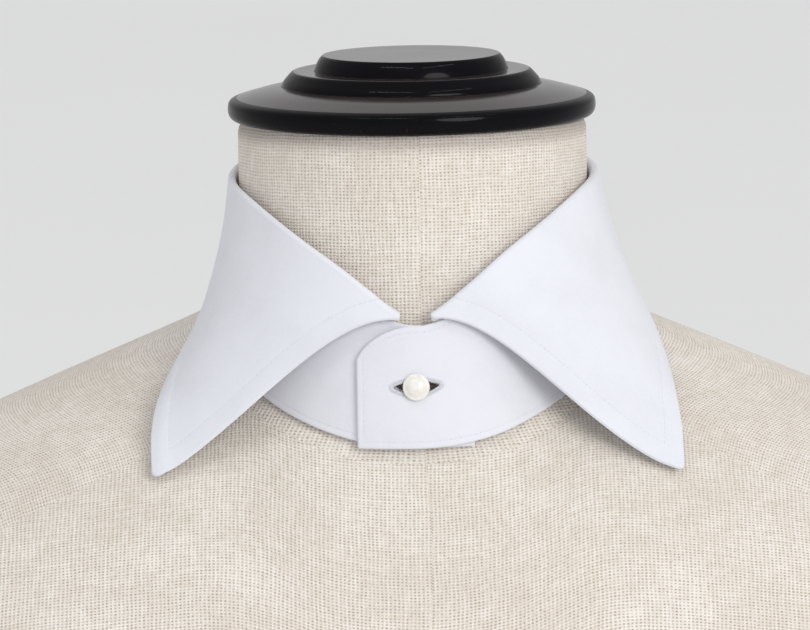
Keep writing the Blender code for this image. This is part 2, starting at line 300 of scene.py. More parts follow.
def band_point(w, v):
    """Middle of the band's cloth at azimuth w and height share v, 0 at its lower edge."""
    w, v = np.broadcast_arrays(np.asarray(w, float), np.asarray(v, float))
    flat = 180 - np.abs(180 - np.abs(w))
    low, high = LOWER_DROP(flat), UPPER_DROP(flat)
    end = math.degrees(math.asin(OVERLAP_X / ring_sizes(0.5)[0]))
    past = np.clip((np.abs(w) - 180) / end, 0, 1)
    top = HOLE_MIDDLE + HOLE_ROWS
    tuck = END_ROUND * (1 - np.sqrt(1 - past**2)) * np.clip((v - top) / (1 - top), 0, 1)
    ahead = LOWER_DROP(180.0) * (1 - v) + UPPER_DROP(180.0) * v + tuck
    drop = np.where(past > 0, ahead, low * (1 - v) + high * v)
    half_width, front, back = ring_sizes((low - drop) / (low - high))
    sin, cos = np.sin(np.radians(w)), np.cos(np.radians(w))
    x, y = half_width * sin, np.where(cos > 0, back, front) * cos
    out = 1 + LAP_STEP * smoothstep(w, *LAP_RAMP) / np.hypot(x, y)
    return np.stack([x * out, y * out, -drop], -1)


def along(grid, axis):
    """Direction of a grid of points along one axis, the mean of the steps before and after."""
    step = unit(np.diff(grid, axis=axis))
    first, last = np.take(step, [0], axis), np.take(step, [-1], axis)
    return unit(np.concatenate([first, step], axis) + np.concatenate([step, last], axis))


CLIMB, TURNS, FALL = 4, 12, 170


def leaf_sections(w):
    """Middle of the leaf's cloth: up from the band, over the roll and down to the outer edge."""
    w = np.asarray(w, float)
    side = np.where(w < 0, -1.0, 1.0)
    seam = band_point(w, 1.0)
    run = unit(band_point(w + 0.5, 1.0) - band_point(w - 0.5, 1.0))
    out = unit(seam * (1, 1, 0))
    out = unit(out - run * np.sum(out * run, -1, keepdims=True))
    up = np.cross(out, run)
    up *= np.sign(up[:, 2:])
    slant = np.clip((np.abs(w) - SLANT_FROM) / (LEAF_END - SLANT_FROM), 0, 1)
    radius = ROLL_RADIUS + np.where(w < 0, ROLL_CHANGE[-1], ROLL_CHANGE[1]) * slant**4
    radius -= np.where(w < 0, ROLL_TIGHTER, 0.1) * smoothstep(np.abs(w), 20, 60)
    lower = np.where(w < 0, ROLL_LOWER[-1], ROLL_LOWER[1]) * smoothstep(np.abs(w), 60, 105)
    lower *= 1 - smoothstep(np.abs(w), 140, 168)
    rise = ROLL_RISE(np.abs(w)) - radius - lower
    edge = np.stack([side * EDGE_OUT(np.abs(w)) + EDGE_LEAN(np.abs(w)), EDGE_Y(np.abs(w)),
                     -EDGE_DROP(np.abs(w))], -1)
    radius, rise, slant, side = (a[:, None] for a in (radius, rise, slant, side))
    line = [seam + up * (LEAF_START + (rise - LEAF_START) * k / CLIMB) for k in range(CLIMB)]
    for k in range(TURNS):
        turn = math.pi * k / TURNS
        line.append(seam + up * (rise + radius * math.sin(turn)) + out * radius * (1 - math.cos(turn)))
    start = seam + up * rise + out * 2 * radius
    length = np.linalg.norm(edge - start, axis=-1, keepdims=True)
    less = np.where(w < 0, LEAVE_LESS, 0) * smoothstep(np.abs(w), *LEAVE_RAMP)
    leave = unit(out * (LEAVE_OUT - less[:, None]) - up)
    turn = np.radians(SLANT_TURN) * slant**4
    leave = unit(leave * np.cos(turn) - run * side * np.sin(turn))
    slump = np.where(side < 0, SLUMP[-1], SLUMP[1]) * slant**3
    arrive = unit(unit(edge - start) + out * ARRIVE_OUT + slump * (0, 0, 1))
    first = start + leave * length * (REACH - REACH_LOSS * slant**3)
    second = edge - arrive * length * REACH
    for k in range(FALL + 1):
        t = k / FALL
        line.append((1 - t)**3 * start + 3 * (1 - t)**2 * t * first + 3 * (1 - t) * t**2 * second
                    + t**3 * edge)
    return np.stack(line, 1)


# %% [markdown]
# ## A grid that follows the edges
#
# A collar is top-stitched at an even distance from its edges. If the mesh has rows and columns at that
# same distance, the line of stitches can be a narrow trough in the cloth. So the leaf is first sampled
# densely, the distance to its edges is measured there, and the final rows and columns are placed at
# chosen distances.

# %% Distances on the leaf
def nearest(points, edge):
    flat = points.reshape(-1, 3)
    best = np.full(len(flat), np.inf)
    for a, b in zip(edge[:-1], edge[1:]):
        step = b - a
        t = np.clip((flat - a) @ step / max(step @ step, 1e-12), 0, 1)
        gap = flat - a - t[:, None] * step
        best = np.minimum(best, np.einsum("ij,ij->i", gap, gap))
    return np.sqrt(best).reshape(points.shape[:-1])


def run_of_azimuth(count):
    """Azimuths from one end of the leaf to the other, closer together towards the front."""
    t = np.linspace(-1, 1, count)
    return LEAF_END * np.sign(t) * (1.45 * np.abs(t) - 0.45 * t * t)


DENSE_W = run_of_azimuth(561)
DENSE = leaf_sections(DENSE_W)
MIDDLE = len(DENSE_W) // 2
FIRST_FALL = CLIMB + TURNS
DEGREE = 1.15

from_front = (LEAF_END - np.abs(DENSE_W))[:, None] * DEGREE * np.ones(DENSE.shape[1])
for half in (slice(0, 190), slice(-190, None)):
    rim = DENSE[0 if half.start == 0 else -1][::3]
    gap = nearest(DENSE[half], rim)
    blend = smoothstep(gap, 12, 55)
    from_front[half] = (1 - blend) * gap + blend * from_front[half]

steps = np.linalg.norm(np.diff(DENSE, axis=1), axis=-1)
from_edge = np.concatenate([np.cumsum(steps[:, ::-1], 1)[:, ::-1], np.zeros((len(DENSE), 1))], 1)
near = DENSE.shape[1] - 60
gap = nearest(DENSE[:, near:], DENSE[::3, -1])
blend = smoothstep(gap, 8, 18)
from_edge[:, near:] = (1 - blend) * gap + blend * from_edge[:, near:]
print("leaf: front edges", np.round(steps[[0, -1]].sum(1), 1), "mm, depth at the back",
      round(steps[MIDDLE].sum(), 1), "mm")

# %% Rows and columns of the leaf
STITCH_IN = 6.6
HALF_WALL = 0.5
BORDER = [HALF_WALL, 0.85, 1.2, 1.8, 2.6, 3.6, 4.6, 5.5, 6.0, 6.35, STITCH_IN, 6.85, 7.2, 7.8, 8.7, 9.9,
          11.4, 13.2]
FAR = LEAF_END * DEGREE
BODY_STEPS = np.linspace(BORDER[-1], FAR, 150)[1:]
COLUMNS = np.concatenate([BORDER, BODY_STEPS])
ROWS_OF_FALL = 36


def sample(table, i, j):
    """Bilinear value of a table at fractional places i and j."""
    i = np.clip(i, 0, table.shape[0] - 1.000001)
    j = np.clip(j, 0, table.shape[1] - 1.000001)
    a, b = i.astype(int), j.astype(int)
    s, t = i - a, j - b
    if table.ndim == 3:
        s, t = s[..., None], t[..., None]
    return ((table[a, b] * (1 - s) + table[a + 1, b] * s) * (1 - t)
            + (table[a, b + 1] * (1 - s) + table[a + 1, b + 1] * s) * t)


def leaf_places():
    """Fractional places in the dense table, and the distances to front and outer edge, of the grid."""
    last = DENSE.shape[1] - 1
    dense_rows = np.arange(last + 1)
    places, rows_from_edge = [], []
    for sign in (-1, 1):
        index = np.arange(0, MIDDLE + 1) if sign < 0 else np.arange(len(DENSE_W) - 1, MIDDLE - 1, -1)
        table = from_front[index]
        for target in COLUMNS if sign < 0 else COLUMNS[-2::-1]:
            across = np.array([np.interp(target, table[:, r], index) for r in dense_rows])
            down = sample(from_edge, across, dense_rows.astype(float))
            top = down[FIRST_FALL]
            shares = np.linspace(1, 0, ROWS_OF_FALL + 1)[:-1]
            wanted = np.concatenate([BORDER[-1] + (top - BORDER[-1]) * shares, BORDER[::-1]])
            fall = np.interp(wanted, down[::-1], dense_rows[::-1])
            row = np.concatenate([np.arange(FIRST_FALL), fall])
            places.append(np.stack([np.interp(row, dense_rows, across), row], -1))
            rows_from_edge.append(np.concatenate([down[:FIRST_FALL], wanted]))
    return np.array(places), np.array(rows_from_edge)


places, EDGE_GAP = leaf_places()
FRONT_GAP = np.concatenate([COLUMNS, COLUMNS[-2::-1]])[:, None] + 0 * EDGE_GAP
LEAF_SIDE = np.where(np.arange(len(places)) < len(COLUMNS), -1.0, 1.0)[:, None]
LEAF_MIDDLE = sample(DENSE, places[..., 0], places[..., 1])
print("leaf grid:", LEAF_MIDDLE.shape[:2])

# %% [markdown]
# ## Rounded points
#
# A turned point is never sharp: the cloth inside it takes up room. The last two millimetres of the grid
# at each point are drawn from a square into a quarter circle.

# %% Round the two points
POINT_ROUND = 2.2


def round_points(middle):
    rows = middle.shape[1]
    corner = [k for k, d in enumerate(BORDER) if d < POINT_ROUND]
    shaped = middle.copy()
    for left in (True, False):
        for i in corner:
            for j in corner:
                a = (POINT_ROUND - BORDER[i]) / (POINT_ROUND - HALF_WALL)
                b = (POINT_ROUND - BORDER[j]) / (POINT_ROUND - HALF_WALL)
                front = POINT_ROUND - a * math.sqrt(1 - b * b / 2) * (POINT_ROUND - HALF_WALL)
                edge = POINT_ROUND - b * math.sqrt(1 - a * a / 2) * (POINT_ROUND - HALF_WALL)
                at_i = np.interp(front, BORDER, range(len(BORDER)))
                at_j = rows - 1 - np.interp(edge, BORDER, range(len(BORDER)))
                at_i = at_i if left else len(middle) - 1 - at_i
                place = (i if left else len(middle) - 1 - i, rows - 1 - j)
                shaped[place] = sample(middle, np.array(at_i), np.array(at_j))
    return shaped


LEAF_MIDDLE = round_points(LEAF_MIDDLE)

# %% [markdown]
# ## Folds of the leaf
#
# The stitched border is stiffer than the cloth beside it, so it lifts a little and leaves a soft valley
# inside it, most of all along the outer edges near the points. The rest of the leaf has only long, shallow
# waves. All are moves along the cloth's normal, the same at every run.

# %% Move the leaf's middle
def bell(x, middle, width):
    return np.exp(-((x - middle) / width)**2)


VALLEY_IN = 8.0
BELLY = 1.4


def leaf_folds():
    azimuth = LEAF_END - FRONT_GAP / DEGREE
    towards_point = smoothstep(azimuth, 88, 128)
    open_cloth = smoothstep(EDGE_GAP, 0, 4) * smoothstep(FRONT_GAP, 0, 6)
    strength = np.where(LEAF_SIDE < 0, 1.0, 0.75)
    valley = np.where(EDGE_GAP < VALLEY_IN, bell(EDGE_GAP, VALLEY_IN, 2.6), bell(EDGE_GAP, VALLEY_IN, 11.0))
    lift = strength * towards_point * (0.10 * bell(EDGE_GAP, 1.0, 4.0) - 0.42 * valley)
    lift += 0.15 * (1 - towards_point) * (bell(EDGE_GAP, 0, 5) - bell(EDGE_GAP, 9.5, 4))
    lift += 0.12 * bell(FRONT_GAP, 0, 5) - 0.12 * bell(FRONT_GAP, 10, 4)
    from_roll = EDGE_GAP[:, FIRST_FALL:FIRST_FALL + 1] - EDGE_GAP
    fallen = np.clip(from_roll / EDGE_GAP[:, FIRST_FALL:FIRST_FALL + 1], 0, 1)
    belly = BELLY * np.sin(math.pi * fallen**0.7) * smoothstep(azimuth, 92, 128)
    x, y, z = np.moveaxis(LEAF_MIDDLE, -1, 0)
    below_roll = smoothstep(np.arange(LEAF_MIDDLE.shape[1]), FIRST_FALL + 3, FIRST_FALL + 14)
    waves = (np.sin(x / 14 + z / 21 + 0.6) + np.sin(y / 17 - z / 11 + 2.1) + 0.6 * np.sin(x / 7 - y / 9))
    lift += 0.14 * waves * below_roll * open_cloth
    pucker = (np.sin(FRONT_GAP * 0.9 + EDGE_GAP * 1.15) + np.sin(EDGE_GAP * 0.83 + 1.3)
              + np.sin(FRONT_GAP * 0.77 + 0.4))
    seam = bell(np.minimum(EDGE_GAP, FRONT_GAP), STITCH_IN, 2.6)
    return lift * below_roll + belly + 0.022 * pucker * seam


NORMAL = unit(np.cross(along(LEAF_MIDDLE, 0), along(LEAF_MIDDLE, 1)))
if np.mean(np.sum(NORMAL[:, -20:] * LEAF_MIDDLE[:, -20:] * (1, 1, 0), -1)) < 0:
    NORMAL = -NORMAL
folds = leaf_folds()
LEAF_MIDDLE = LEAF_MIDDLE + NORMAL * folds[..., None]
print("folds of the leaf: from", round(folds.min(), 2), "to", round(folds.max(), 2), "mm")


# %% [markdown]
# ## A cloth wall with a turned edge
#
# Each sewn piece is one closed shell. Its two faces lie half a thickness either side of the middle, and
# at the edges a few rows of faces run round from one to the other. The middle row is set back, which draws
# the line between the upper and the under ply that a turned edge shows.

# %% Build a cloth wall
RIM = [(0.42, 0.90), (0.60, 0.64), (0.34, 0.36), (0.82, 0.08), (1.0, -0.30), (0.70, -0.82)]


def cloth_wall(name, middle, half, finish, reach, uv, open_cells=()):
    """middle, half and reach are grids: the cloth's middle, half its thickness, how far its edge bulges."""
    count, rows = middle.shape[:2]
    normal = unit(np.cross(along(middle, 0), along(middle, 1)))
    far = count * rows
    offset = normal * half[..., None]
    points = list((middle + offset).reshape(-1, 3)) + list((middle - offset).reshape(-1, 3))
    kept = np.ones((count + 1, rows + 1), bool)
    kept[-1], kept[:, -1] = False, False
    kept[count - 1], kept[:, rows - 1] = False, False
    for cell in open_cells:
        kept[cell] = False
    faces, rim_edges = [], []
    for i, j in zip(*np.nonzero(kept[:count - 1, :rows - 1])):
        a, b, c, d = (i * rows + j, (i + 1) * rows + j, (i + 1) * rows + j + 1, i * rows + j + 1)
        faces.append((a, b, c, d))
        faces.append((d + far, c + far, b + far, a + far))
        for p, q, beside in ((a, b, (i, j - 1)), (b, c, (i + 1, j)), (c, d, (i, j + 1)),
                             (d, a, (i - 1, j))):
            if not kept[beside]:
                rim_edges.append((p, q))
    flat, flat_normal = middle.reshape(-1, 3), normal.reshape(-1, 3)
    flat_half, flat_reach = half.ravel(), reach.ravel()
    outward = {}
    for p, q in rim_edges:
        away = unit(np.cross(unit(flat[q] - flat[p]), flat_normal[p]))
        for k in (p, q):
            outward[k] = outward.get(k, 0) + away
    chain = {}
    for k, away in outward.items():
        away = unit(away)
        chain[k] = [k]
        for forth, up in RIM:
            chain[k].append(len(points))
            points.append(flat[k] + away * flat_reach[k] * forth + flat_normal[k] * flat_half[k] * up)
        chain[k].append(k + far)
    owner = {}
    for k, line in chain.items():
        owner.update({n: k for n in line})
    for p, q in rim_edges:
        for m in range(len(RIM) + 1):
            faces.append((chain[q][m], chain[p][m], chain[p][m + 1], chain[q][m + 1]))
    used = sorted({k for face in faces for k in face})
    place = {k: n for n, k in enumerate(used)}
    flat_uv = uv.reshape(-1, 2) * MM
    corners = [flat_uv[owner.get(k, k % far)] for face in faces for k in face]
    return new_piece(name, [points[k] for k in used], [tuple(place[k] for k in face) for face in faces],
                     finish, 50, corners)


def report(piece):
    bm = bmesh.new()
    bm.from_mesh(piece.data)
    open_edges = sum(1 for e in bm.edges if len(e.link_faces) != 2)
    triangles = sum(len(f.verts) - 2 for f in bm.faces)
    print(piece.name, triangles, "triangles,", open_edges, "open edges, volume",
          round(bm.calc_volume(signed=True) * 1e6, 2), "cm3")
    bm.free()


# %% [markdown]
# ## The leaf
#
# The shell is thinnest along the stitches, where the thread pulls the plies together, and a little
# thicker in the border, where the turned-in allowance lies.

# %% Make the leaf
near_edge = np.minimum(EDGE_GAP, FRONT_GAP)
leaf_half = HALF_WALL - 0.07 * bell(near_edge, STITCH_IN, 0.42) + 0.05 * bell(near_edge, 3.4, 2.2)
leaf_reach = np.full(leaf_half.shape, 0.75)
leaf_reach[:, 0] = 0.1
leaf_uv = np.stack([np.where(LEAF_SIDE < 0, FRONT_GAP, 2 * FAR - FRONT_GAP), EDGE_GAP], -1)
leaf_cloth = cloth_wall("leaf_cloth", LEAF_MIDDLE, leaf_half, leaf_cotton, leaf_reach, leaf_uv)
report(leaf_cloth)

# %% [markdown]
# ## The band
#
# The band is cut a little longer than the neck, so its ends lap at the front. The wearer's left end lies
# outside. Each end has a buttonhole, held open by the stud, and there is one more at the back.

# %% Grid of the band
EDGE_ROWS = np.array([0.018, 0.032, 0.042, 0.05, 0.058, 0.072])
BAND_ROWS = np.concatenate([[0.012], EDGE_ROWS[1:], [0.1, 0.15, 0.2, 0.25, 0.3, 0.35, 0.4, 0.43],
                            [HOLE_MIDDLE - HOLE_ROWS, HOLE_MIDDLE, HOLE_MIDDLE + HOLE_ROWS],
                            [0.57, 0.6, 0.65, 0.7, 0.75, 0.8, 0.85, 0.9], (1 - EDGE_ROWS[1:])[::-1],
                            [0.988]])
HOLE_ROW = int(np.argmin(np.abs(BAND_ROWS - HOLE_MIDDLE)))


def band_cloth_grid():
    hole = np.linspace(0, HOLE_ANGLE, 13)
    half = np.concatenate([hole, [7.4, 8.6, 10.2], np.linspace(12, 168, 112), [169.8, 171.4, 172.6],
                           (180 - hole)[::-1]])
    reach = np.degrees(np.arcsin((OVERLAP_X - 0.65) / ring_sizes(BAND_ROWS)[0]))
    round_end = np.sin(np.radians([30, 34, 38, 42, 46, 50, 55, 60, 65, 70, 75, 80, 85, 90]))
    share_past = np.append(hole[1:] / reach.mean(), round_end)[:, None]
    past = 180 + reach * share_past
    for _ in range(4):
        shown = band_point(past, BAND_ROWS)
        wanted = (OVERLAP_X - 0.65) * np.sin(np.radians(reach.mean() * share_past)) / math.sin(
            math.radians(reach.mean()))
        half_width = shown[..., 0] / np.sin(np.radians(past))
        past = 180 + np.degrees(np.arcsin(wanted / half_width))
    right = np.vstack([half[:, None] + 0 * BAND_ROWS, past])
    azimuths = np.vstack([-right[:0:-1], right])
    shares = np.tile(BAND_ROWS, (len(azimuths), 1))
    open_cells = set()
    for middle, half_height in HOLES[1:]:
        height = np.linalg.norm(band_point(middle, 1.0) - band_point(middle, 0.0))
        away = np.abs(azimuths[:, HOLE_ROW] - middle) / HOLE_ANGLE
        inside = np.where(away < 1.01)[0]
        gap = (HOLE_TIP + (half_height - HOLE_TIP) * (1 - away[inside]**2)) / height
        off = np.abs(BAND_ROWS - HOLE_MIDDLE)
        share = np.clip((0.3 - off) / (0.3 - HOLE_ROWS), 0, 1)
        share[off < 0.01] = 0
        push = np.sign(BAND_ROWS - HOLE_MIDDLE) * share * (gap[:, None] - HOLE_ROWS)
        shares[inside] += push
        open_cells.update((i, j) for i in inside[:-1] for j in (HOLE_ROW - 1, HOLE_ROW))
    return azimuths, shares, open_cells


azimuths, shares, band_holes = band_cloth_grid()
BAND_MIDDLE = band_point(azimuths, shares)
print("band grid:", BAND_MIDDLE.shape[:2], "cells left open:", len(band_holes))

# %% Make the band
run = np.linalg.norm(np.diff(BAND_MIDDLE, axis=0), axis=-1)
BAND_RUN = np.concatenate([np.zeros((1, len(BAND_ROWS))), np.cumsum(run, 0)])
BAND_RUN = BAND_RUN[:, HOLE_ROW:HOLE_ROW + 1] + 0 * BAND_RUN
rise = np.linalg.norm(np.diff(BAND_MIDDLE, axis=1), axis=-1)
BAND_RISE = np.concatenate([np.zeros((len(BAND_MIDDLE), 1)), np.cumsum(rise, 1)], 1)
end_gap = np.minimum(BAND_RUN, BAND_RUN.max() - BAND_RUN) + HALF_WALL
edge_gap = np.minimum(BAND_RISE, BAND_RISE[:, -1:] - BAND_RISE) + HALF_WALL
band_gap = np.minimum(end_gap, edge_gap)
BAND_STITCH = 1.9
band_half = 0.6 - 0.09 * bell(band_gap, BAND_STITCH, 0.42) + 0.05 * bell(band_gap, 1.0, 0.5)
band_reach = np.full(band_half.shape, 0.6)
band_reach[:, 1:-1] = np.where((end_gap > 2)[:, 1:-1], 0.12, 0.6)
band_uv = np.stack([BAND_RUN, BAND_RISE], -1)
band_cloth = cloth_wall("band_cloth", BAND_MIDDLE, band_half, band_cotton, band_reach, band_uv, band_holes)
report(band_cloth)

# %% [markdown]
# ## Stitches by Geometry Nodes
#
# A seam is one short thread repeated along a line, which is what Geometry Nodes do well. The tree takes a
# path, cuts it into even steps, drops each step onto the nearest cloth, and sets one small rounded thread
# there, turned along the path. Its sizes are named inputs. The same tree works the buttonholes, with threads
# that lie across the path, side by side.

# %% The tree that sews
def socket_value(modifier, tree, values):
    """Set the inputs of a Geometry Nodes modifier by name, through each socket's identifier."""
    for item in tree.interface.items_tree:
        if item.item_type == "SOCKET" and item.in_out == "INPUT" and item.name in values:
            modifier[item.identifier] = values[item.name]


def start_tree(name, inputs):
    tree = bpy.data.node_groups.new(name, "GeometryNodeTree")
    tree.interface.new_socket("Geometry", in_out="INPUT", socket_type="NodeSocketGeometry")
    for label, kind in inputs:
        tree.interface.new_socket(label, in_out="INPUT", socket_type="NodeSocket" + kind)
    tree.interface.new_socket("Geometry", in_out="OUTPUT", socket_type="NodeSocketGeometry")
    given = tree.nodes.new("NodeGroupInput")
    result = tree.nodes.new("NodeGroupOutput")

    def node(kind, inputs=(), **settings):
        made = tree.nodes.new(kind)
        for key, value in settings.items():
            setattr(made, key, value)
        for key, value in dict(inputs).items():
            if isinstance(value, bpy.types.NodeSocket):
                tree.links.new(value, made.inputs[key])
            else:
                made.inputs[key].default_value = value
        return made
    return tree, given.outputs, result.inputs, node


def sewing_tree():
    tree, given, result, node = start_tree("sew_along_a_line", [
        ("Cloth", "Object"), ("Step", "Float"), ("Length", "Float"), ("Width", "Float"),
        ("Height", "Float"), ("Sink", "Float"), ("Slant", "Float"), ("Unevenness", "Float"),
        ("Seed", "Int"),
        ("Thread", "Material")])
    line = node("GeometryNodeMeshToCurve", {0: given["Geometry"]})
    even = node("GeometryNodeResampleCurve", {"Curve": line.outputs[0], "Length": given["Step"]},
                mode="LENGTH")
    tangent = node("GeometryNodeInputTangent")
    held = node("GeometryNodeCaptureAttribute", {"Geometry": even.outputs[0]})
    held.capture_items.new("VECTOR", "Tangent")
    tree.links.new(tangent.outputs[0], held.inputs[1])
    cloth = node("GeometryNodeObjectInfo", {"Object": given["Cloth"]}, transform_space="RELATIVE")
    position = node("GeometryNodeInputPosition")
    spot = node("GeometryNodeSampleNearestSurface", {"Mesh": cloth.outputs["Geometry"],
                                                     "Value": position.outputs[0]},
                data_type="FLOAT_VECTOR")
    facing = node("GeometryNodeInputNormal")
    normal = node("GeometryNodeSampleNearestSurface", {"Mesh": cloth.outputs["Geometry"],
                                                       "Value": facing.outputs[0]},
                  data_type="FLOAT_VECTOR")
    lift = node("ShaderNodeMath", {0: given["Height"], 1: 0.5}, operation="MULTIPLY")
    lift = node("ShaderNodeMath", {0: lift.outputs[0], 1: given["Sink"]}, operation="SUBTRACT")
    lifted = node("ShaderNodeVectorMath", {0: normal.outputs[0], "Scale": lift.outputs[0]},
                  operation="SCALE")
    laid = node("ShaderNodeVectorMath", {0: spot.outputs[0], 1: lifted.outputs[0]}, operation="ADD")
    on_cloth = node("GeometryNodeSetPosition", {"Geometry": held.outputs[0], "Position": laid.outputs[0]})
    turn = node("FunctionNodeAlignRotationToVector", {"Vector": held.outputs[1]}, axis="X")
    turn = node("FunctionNodeAlignRotationToVector", {"Rotation": turn.outputs[0],
                                                      "Vector": normal.outputs[0]},
                axis="Z", pivot_axis="X")
    lean = node("ShaderNodeCombineXYZ", {2: given["Slant"]})
    lean = node("FunctionNodeEulerToRotation", {0: lean.outputs[0]})
    turn = node("FunctionNodeRotateRotation", {0: turn.outputs[0], 1: lean.outputs[0]},
                rotation_space="LOCAL")
    bead = node("GeometryNodeMeshUVSphere", {"Segments": 6, "Rings": 5, "Radius": 0.5})
    size = node("ShaderNodeCombineXYZ", {0: given["Length"], 1: given["Width"], 2: given["Height"]})
    shaped = node("GeometryNodeTransform", {"Geometry": bead.outputs[0], "Scale": size.outputs[0]})
    vary = node("FunctionNodeRandomValue", {"Seed": given["Seed"]}, data_type="FLOAT")
    low = node("ShaderNodeMath", {0: 1.0, 1: given["Unevenness"]}, operation="SUBTRACT")
    tree.links.new(low.outputs[0], vary.inputs[2])
    vary.inputs[3].default_value = 1.0
    sown = node("GeometryNodeInstanceOnPoints", {"Points": on_cloth.outputs[0],
                                                 "Instance": shaped.outputs[0],
                                                 "Rotation": turn.outputs[0]})
    scale = node("ShaderNodeCombineXYZ", {0: vary.outputs[1], 1: vary.outputs[1], 2: 1.0})
    tree.links.new(scale.outputs[0], sown.inputs["Scale"])
    real = node("GeometryNodeRealizeInstances", {0: sown.outputs[0]})
    dressed = node("GeometryNodeSetMaterial", {"Geometry": real.outputs[0],
                                               "Material": given["Thread"]})
    tree.links.new(dressed.outputs[0], result[0])
    return tree


SEWING = sewing_tree()


def evaluated_mesh(piece, name):
    """Turn a piece with a Geometry Nodes modifier into a plain mesh and take the modifier off."""
    graph = bpy.context.evaluated_depsgraph_get()
    mesh = bpy.data.meshes.new_from_object(piece.evaluated_get(graph))
    mesh.name = name
    mesh.shade_smooth()
    piece.modifiers.clear()
    piece.data = mesh
    return piece


def sew(name, paths, cloth, finish, step, length, width, height, sink, slant=0.0, unevenness=0.12, seed=7):
    """Thread along each path, a list of points in millimetres just off the face that it lies on."""
    points, edges = [], []
    for path in paths:
        edges += [(len(points) + k, len(points) + k + 1) for k in range(len(path) - 1)]
        points += list(path)
    line = new_piece(name, points, [])
    line.data.clear_geometry()
    placed = np.asarray(points) * MM + (0, 0, NECK_TOP * MM)
    line.data.from_pydata(placed.tolist(), edges, [])
    modifier = line.modifiers.new("sewing", "NODES")
    modifier.node_group = SEWING
    socket_value(modifier, SEWING, {
        "Cloth": cloth, "Step": step * MM, "Length": length * MM, "Width": width * MM,
        "Height": height * MM, "Sink": sink * MM, "Slant": math.radians(slant),
        "Unevenness": unevenness, "Seed": seed,
        "Thread": finish})
    sewn = evaluated_mesh(line, name)
    print(name, len(sewn.data.polygons), "faces")
    return sewn


# %% [markdown]
# ## Top-stitching
#
# The leaf's stitches run down one front edge, round the outer edge and up the other front edge, 6.6 mm
# inside. The band's run close to its edges. Each line shows on both faces of the cloth.

# %% Sew the leaf
def both_faces(middle, half, picks):
    """The same line just off each face of the cloth, from a list of (column, row) places."""
    normal = unit(np.cross(along(middle, 0), along(middle, 1)))
    line = np.array([middle[p] for p in picks])
    off = np.array([normal[p] * (half[p] + 0.15) for p in picks])
    return [line + off, line - off]


left_column = BORDER.index(STITCH_IN)
right_column = len(LEAF_MIDDLE) - 1 - left_column
stitch_row = LEAF_MIDDLE.shape[1] - 1 - BORDER.index(STITCH_IN)
leaf_line = [(left_column, j) for j in range(2, stitch_row)]
leaf_line += [(i, stitch_row) for i in range(left_column, right_column + 1)]
leaf_line += [(right_column, j) for j in range(stitch_row - 1, 1, -1)]
leaf_stitches = sew("leaf_stitches", both_faces(LEAF_MIDDLE, leaf_half, leaf_line), leaf_cloth,
                    sewing_thread, 1.65, 1.38, 0.28, 0.2, 0.09, 9)

# %% Sew the band
def band_line(gap):
    """Columns and rows of the band closest to a line that far inside its edges."""
    low = int(np.argmin(np.abs(edge_gap[len(edge_gap) // 2, :HOLE_ROW] - gap)))
    high = len(BAND_ROWS) - 1 - low
    ends = int(np.argmin(np.abs(end_gap[:40, HOLE_ROW] - gap)))
    last = len(BAND_MIDDLE) - 1 - ends
    line = [(i, low) for i in range(ends, last + 1)]
    line += [(last, j) for j in range(low + 1, high + 1)]
    line += [(i, high) for i in range(last - 1, ends - 1, -1)]
    line += [(ends, j) for j in range(high - 1, low - 1, -1)]
    return line


band_stitches = sew("band_stitches", both_faces(BAND_MIDDLE, band_half, band_line(BAND_STITCH)),
                    band_cloth, sewing_thread, 1.65, 1.38, 0.28, 0.2, 0.09, 9, seed=11)

# %% Work the buttonholes
def buttonhole_lines():
    lines = []
    for middle, _ in HOLES[1:]:
        inside = np.where(np.abs(azimuths[:, HOLE_ROW] - middle) < HOLE_ANGLE * 1.01)[0]
        below = [(i, HOLE_ROW - 1) for i in inside]
        above = [(i, HOLE_ROW + 1) for i in inside[::-1]]
        ring = below + above + below[:1]
        for face in both_faces(BAND_MIDDLE, band_half, ring):
            centre = face.mean(0)
            lines.append(face + unit(face - centre) * 0.85)
    return lines


buttonhole_stitches = sew("buttonhole_stitches", buttonhole_lines(), band_cloth, buttonhole_thread,
                          0.36, 0.36, 1.75, 0.3, 0.08, 0, 0.15, 3)

# %% [markdown]
# ## Turned pieces by Geometry Nodes
#
# The cap and the stud are turned on a lathe, so their shape is one rule: a profile swept round an axis.
# The tree smooths the profile, makes a grid with one column for each step round the axis, and wraps the
# grid into the turned form. The number of sides is a named input.

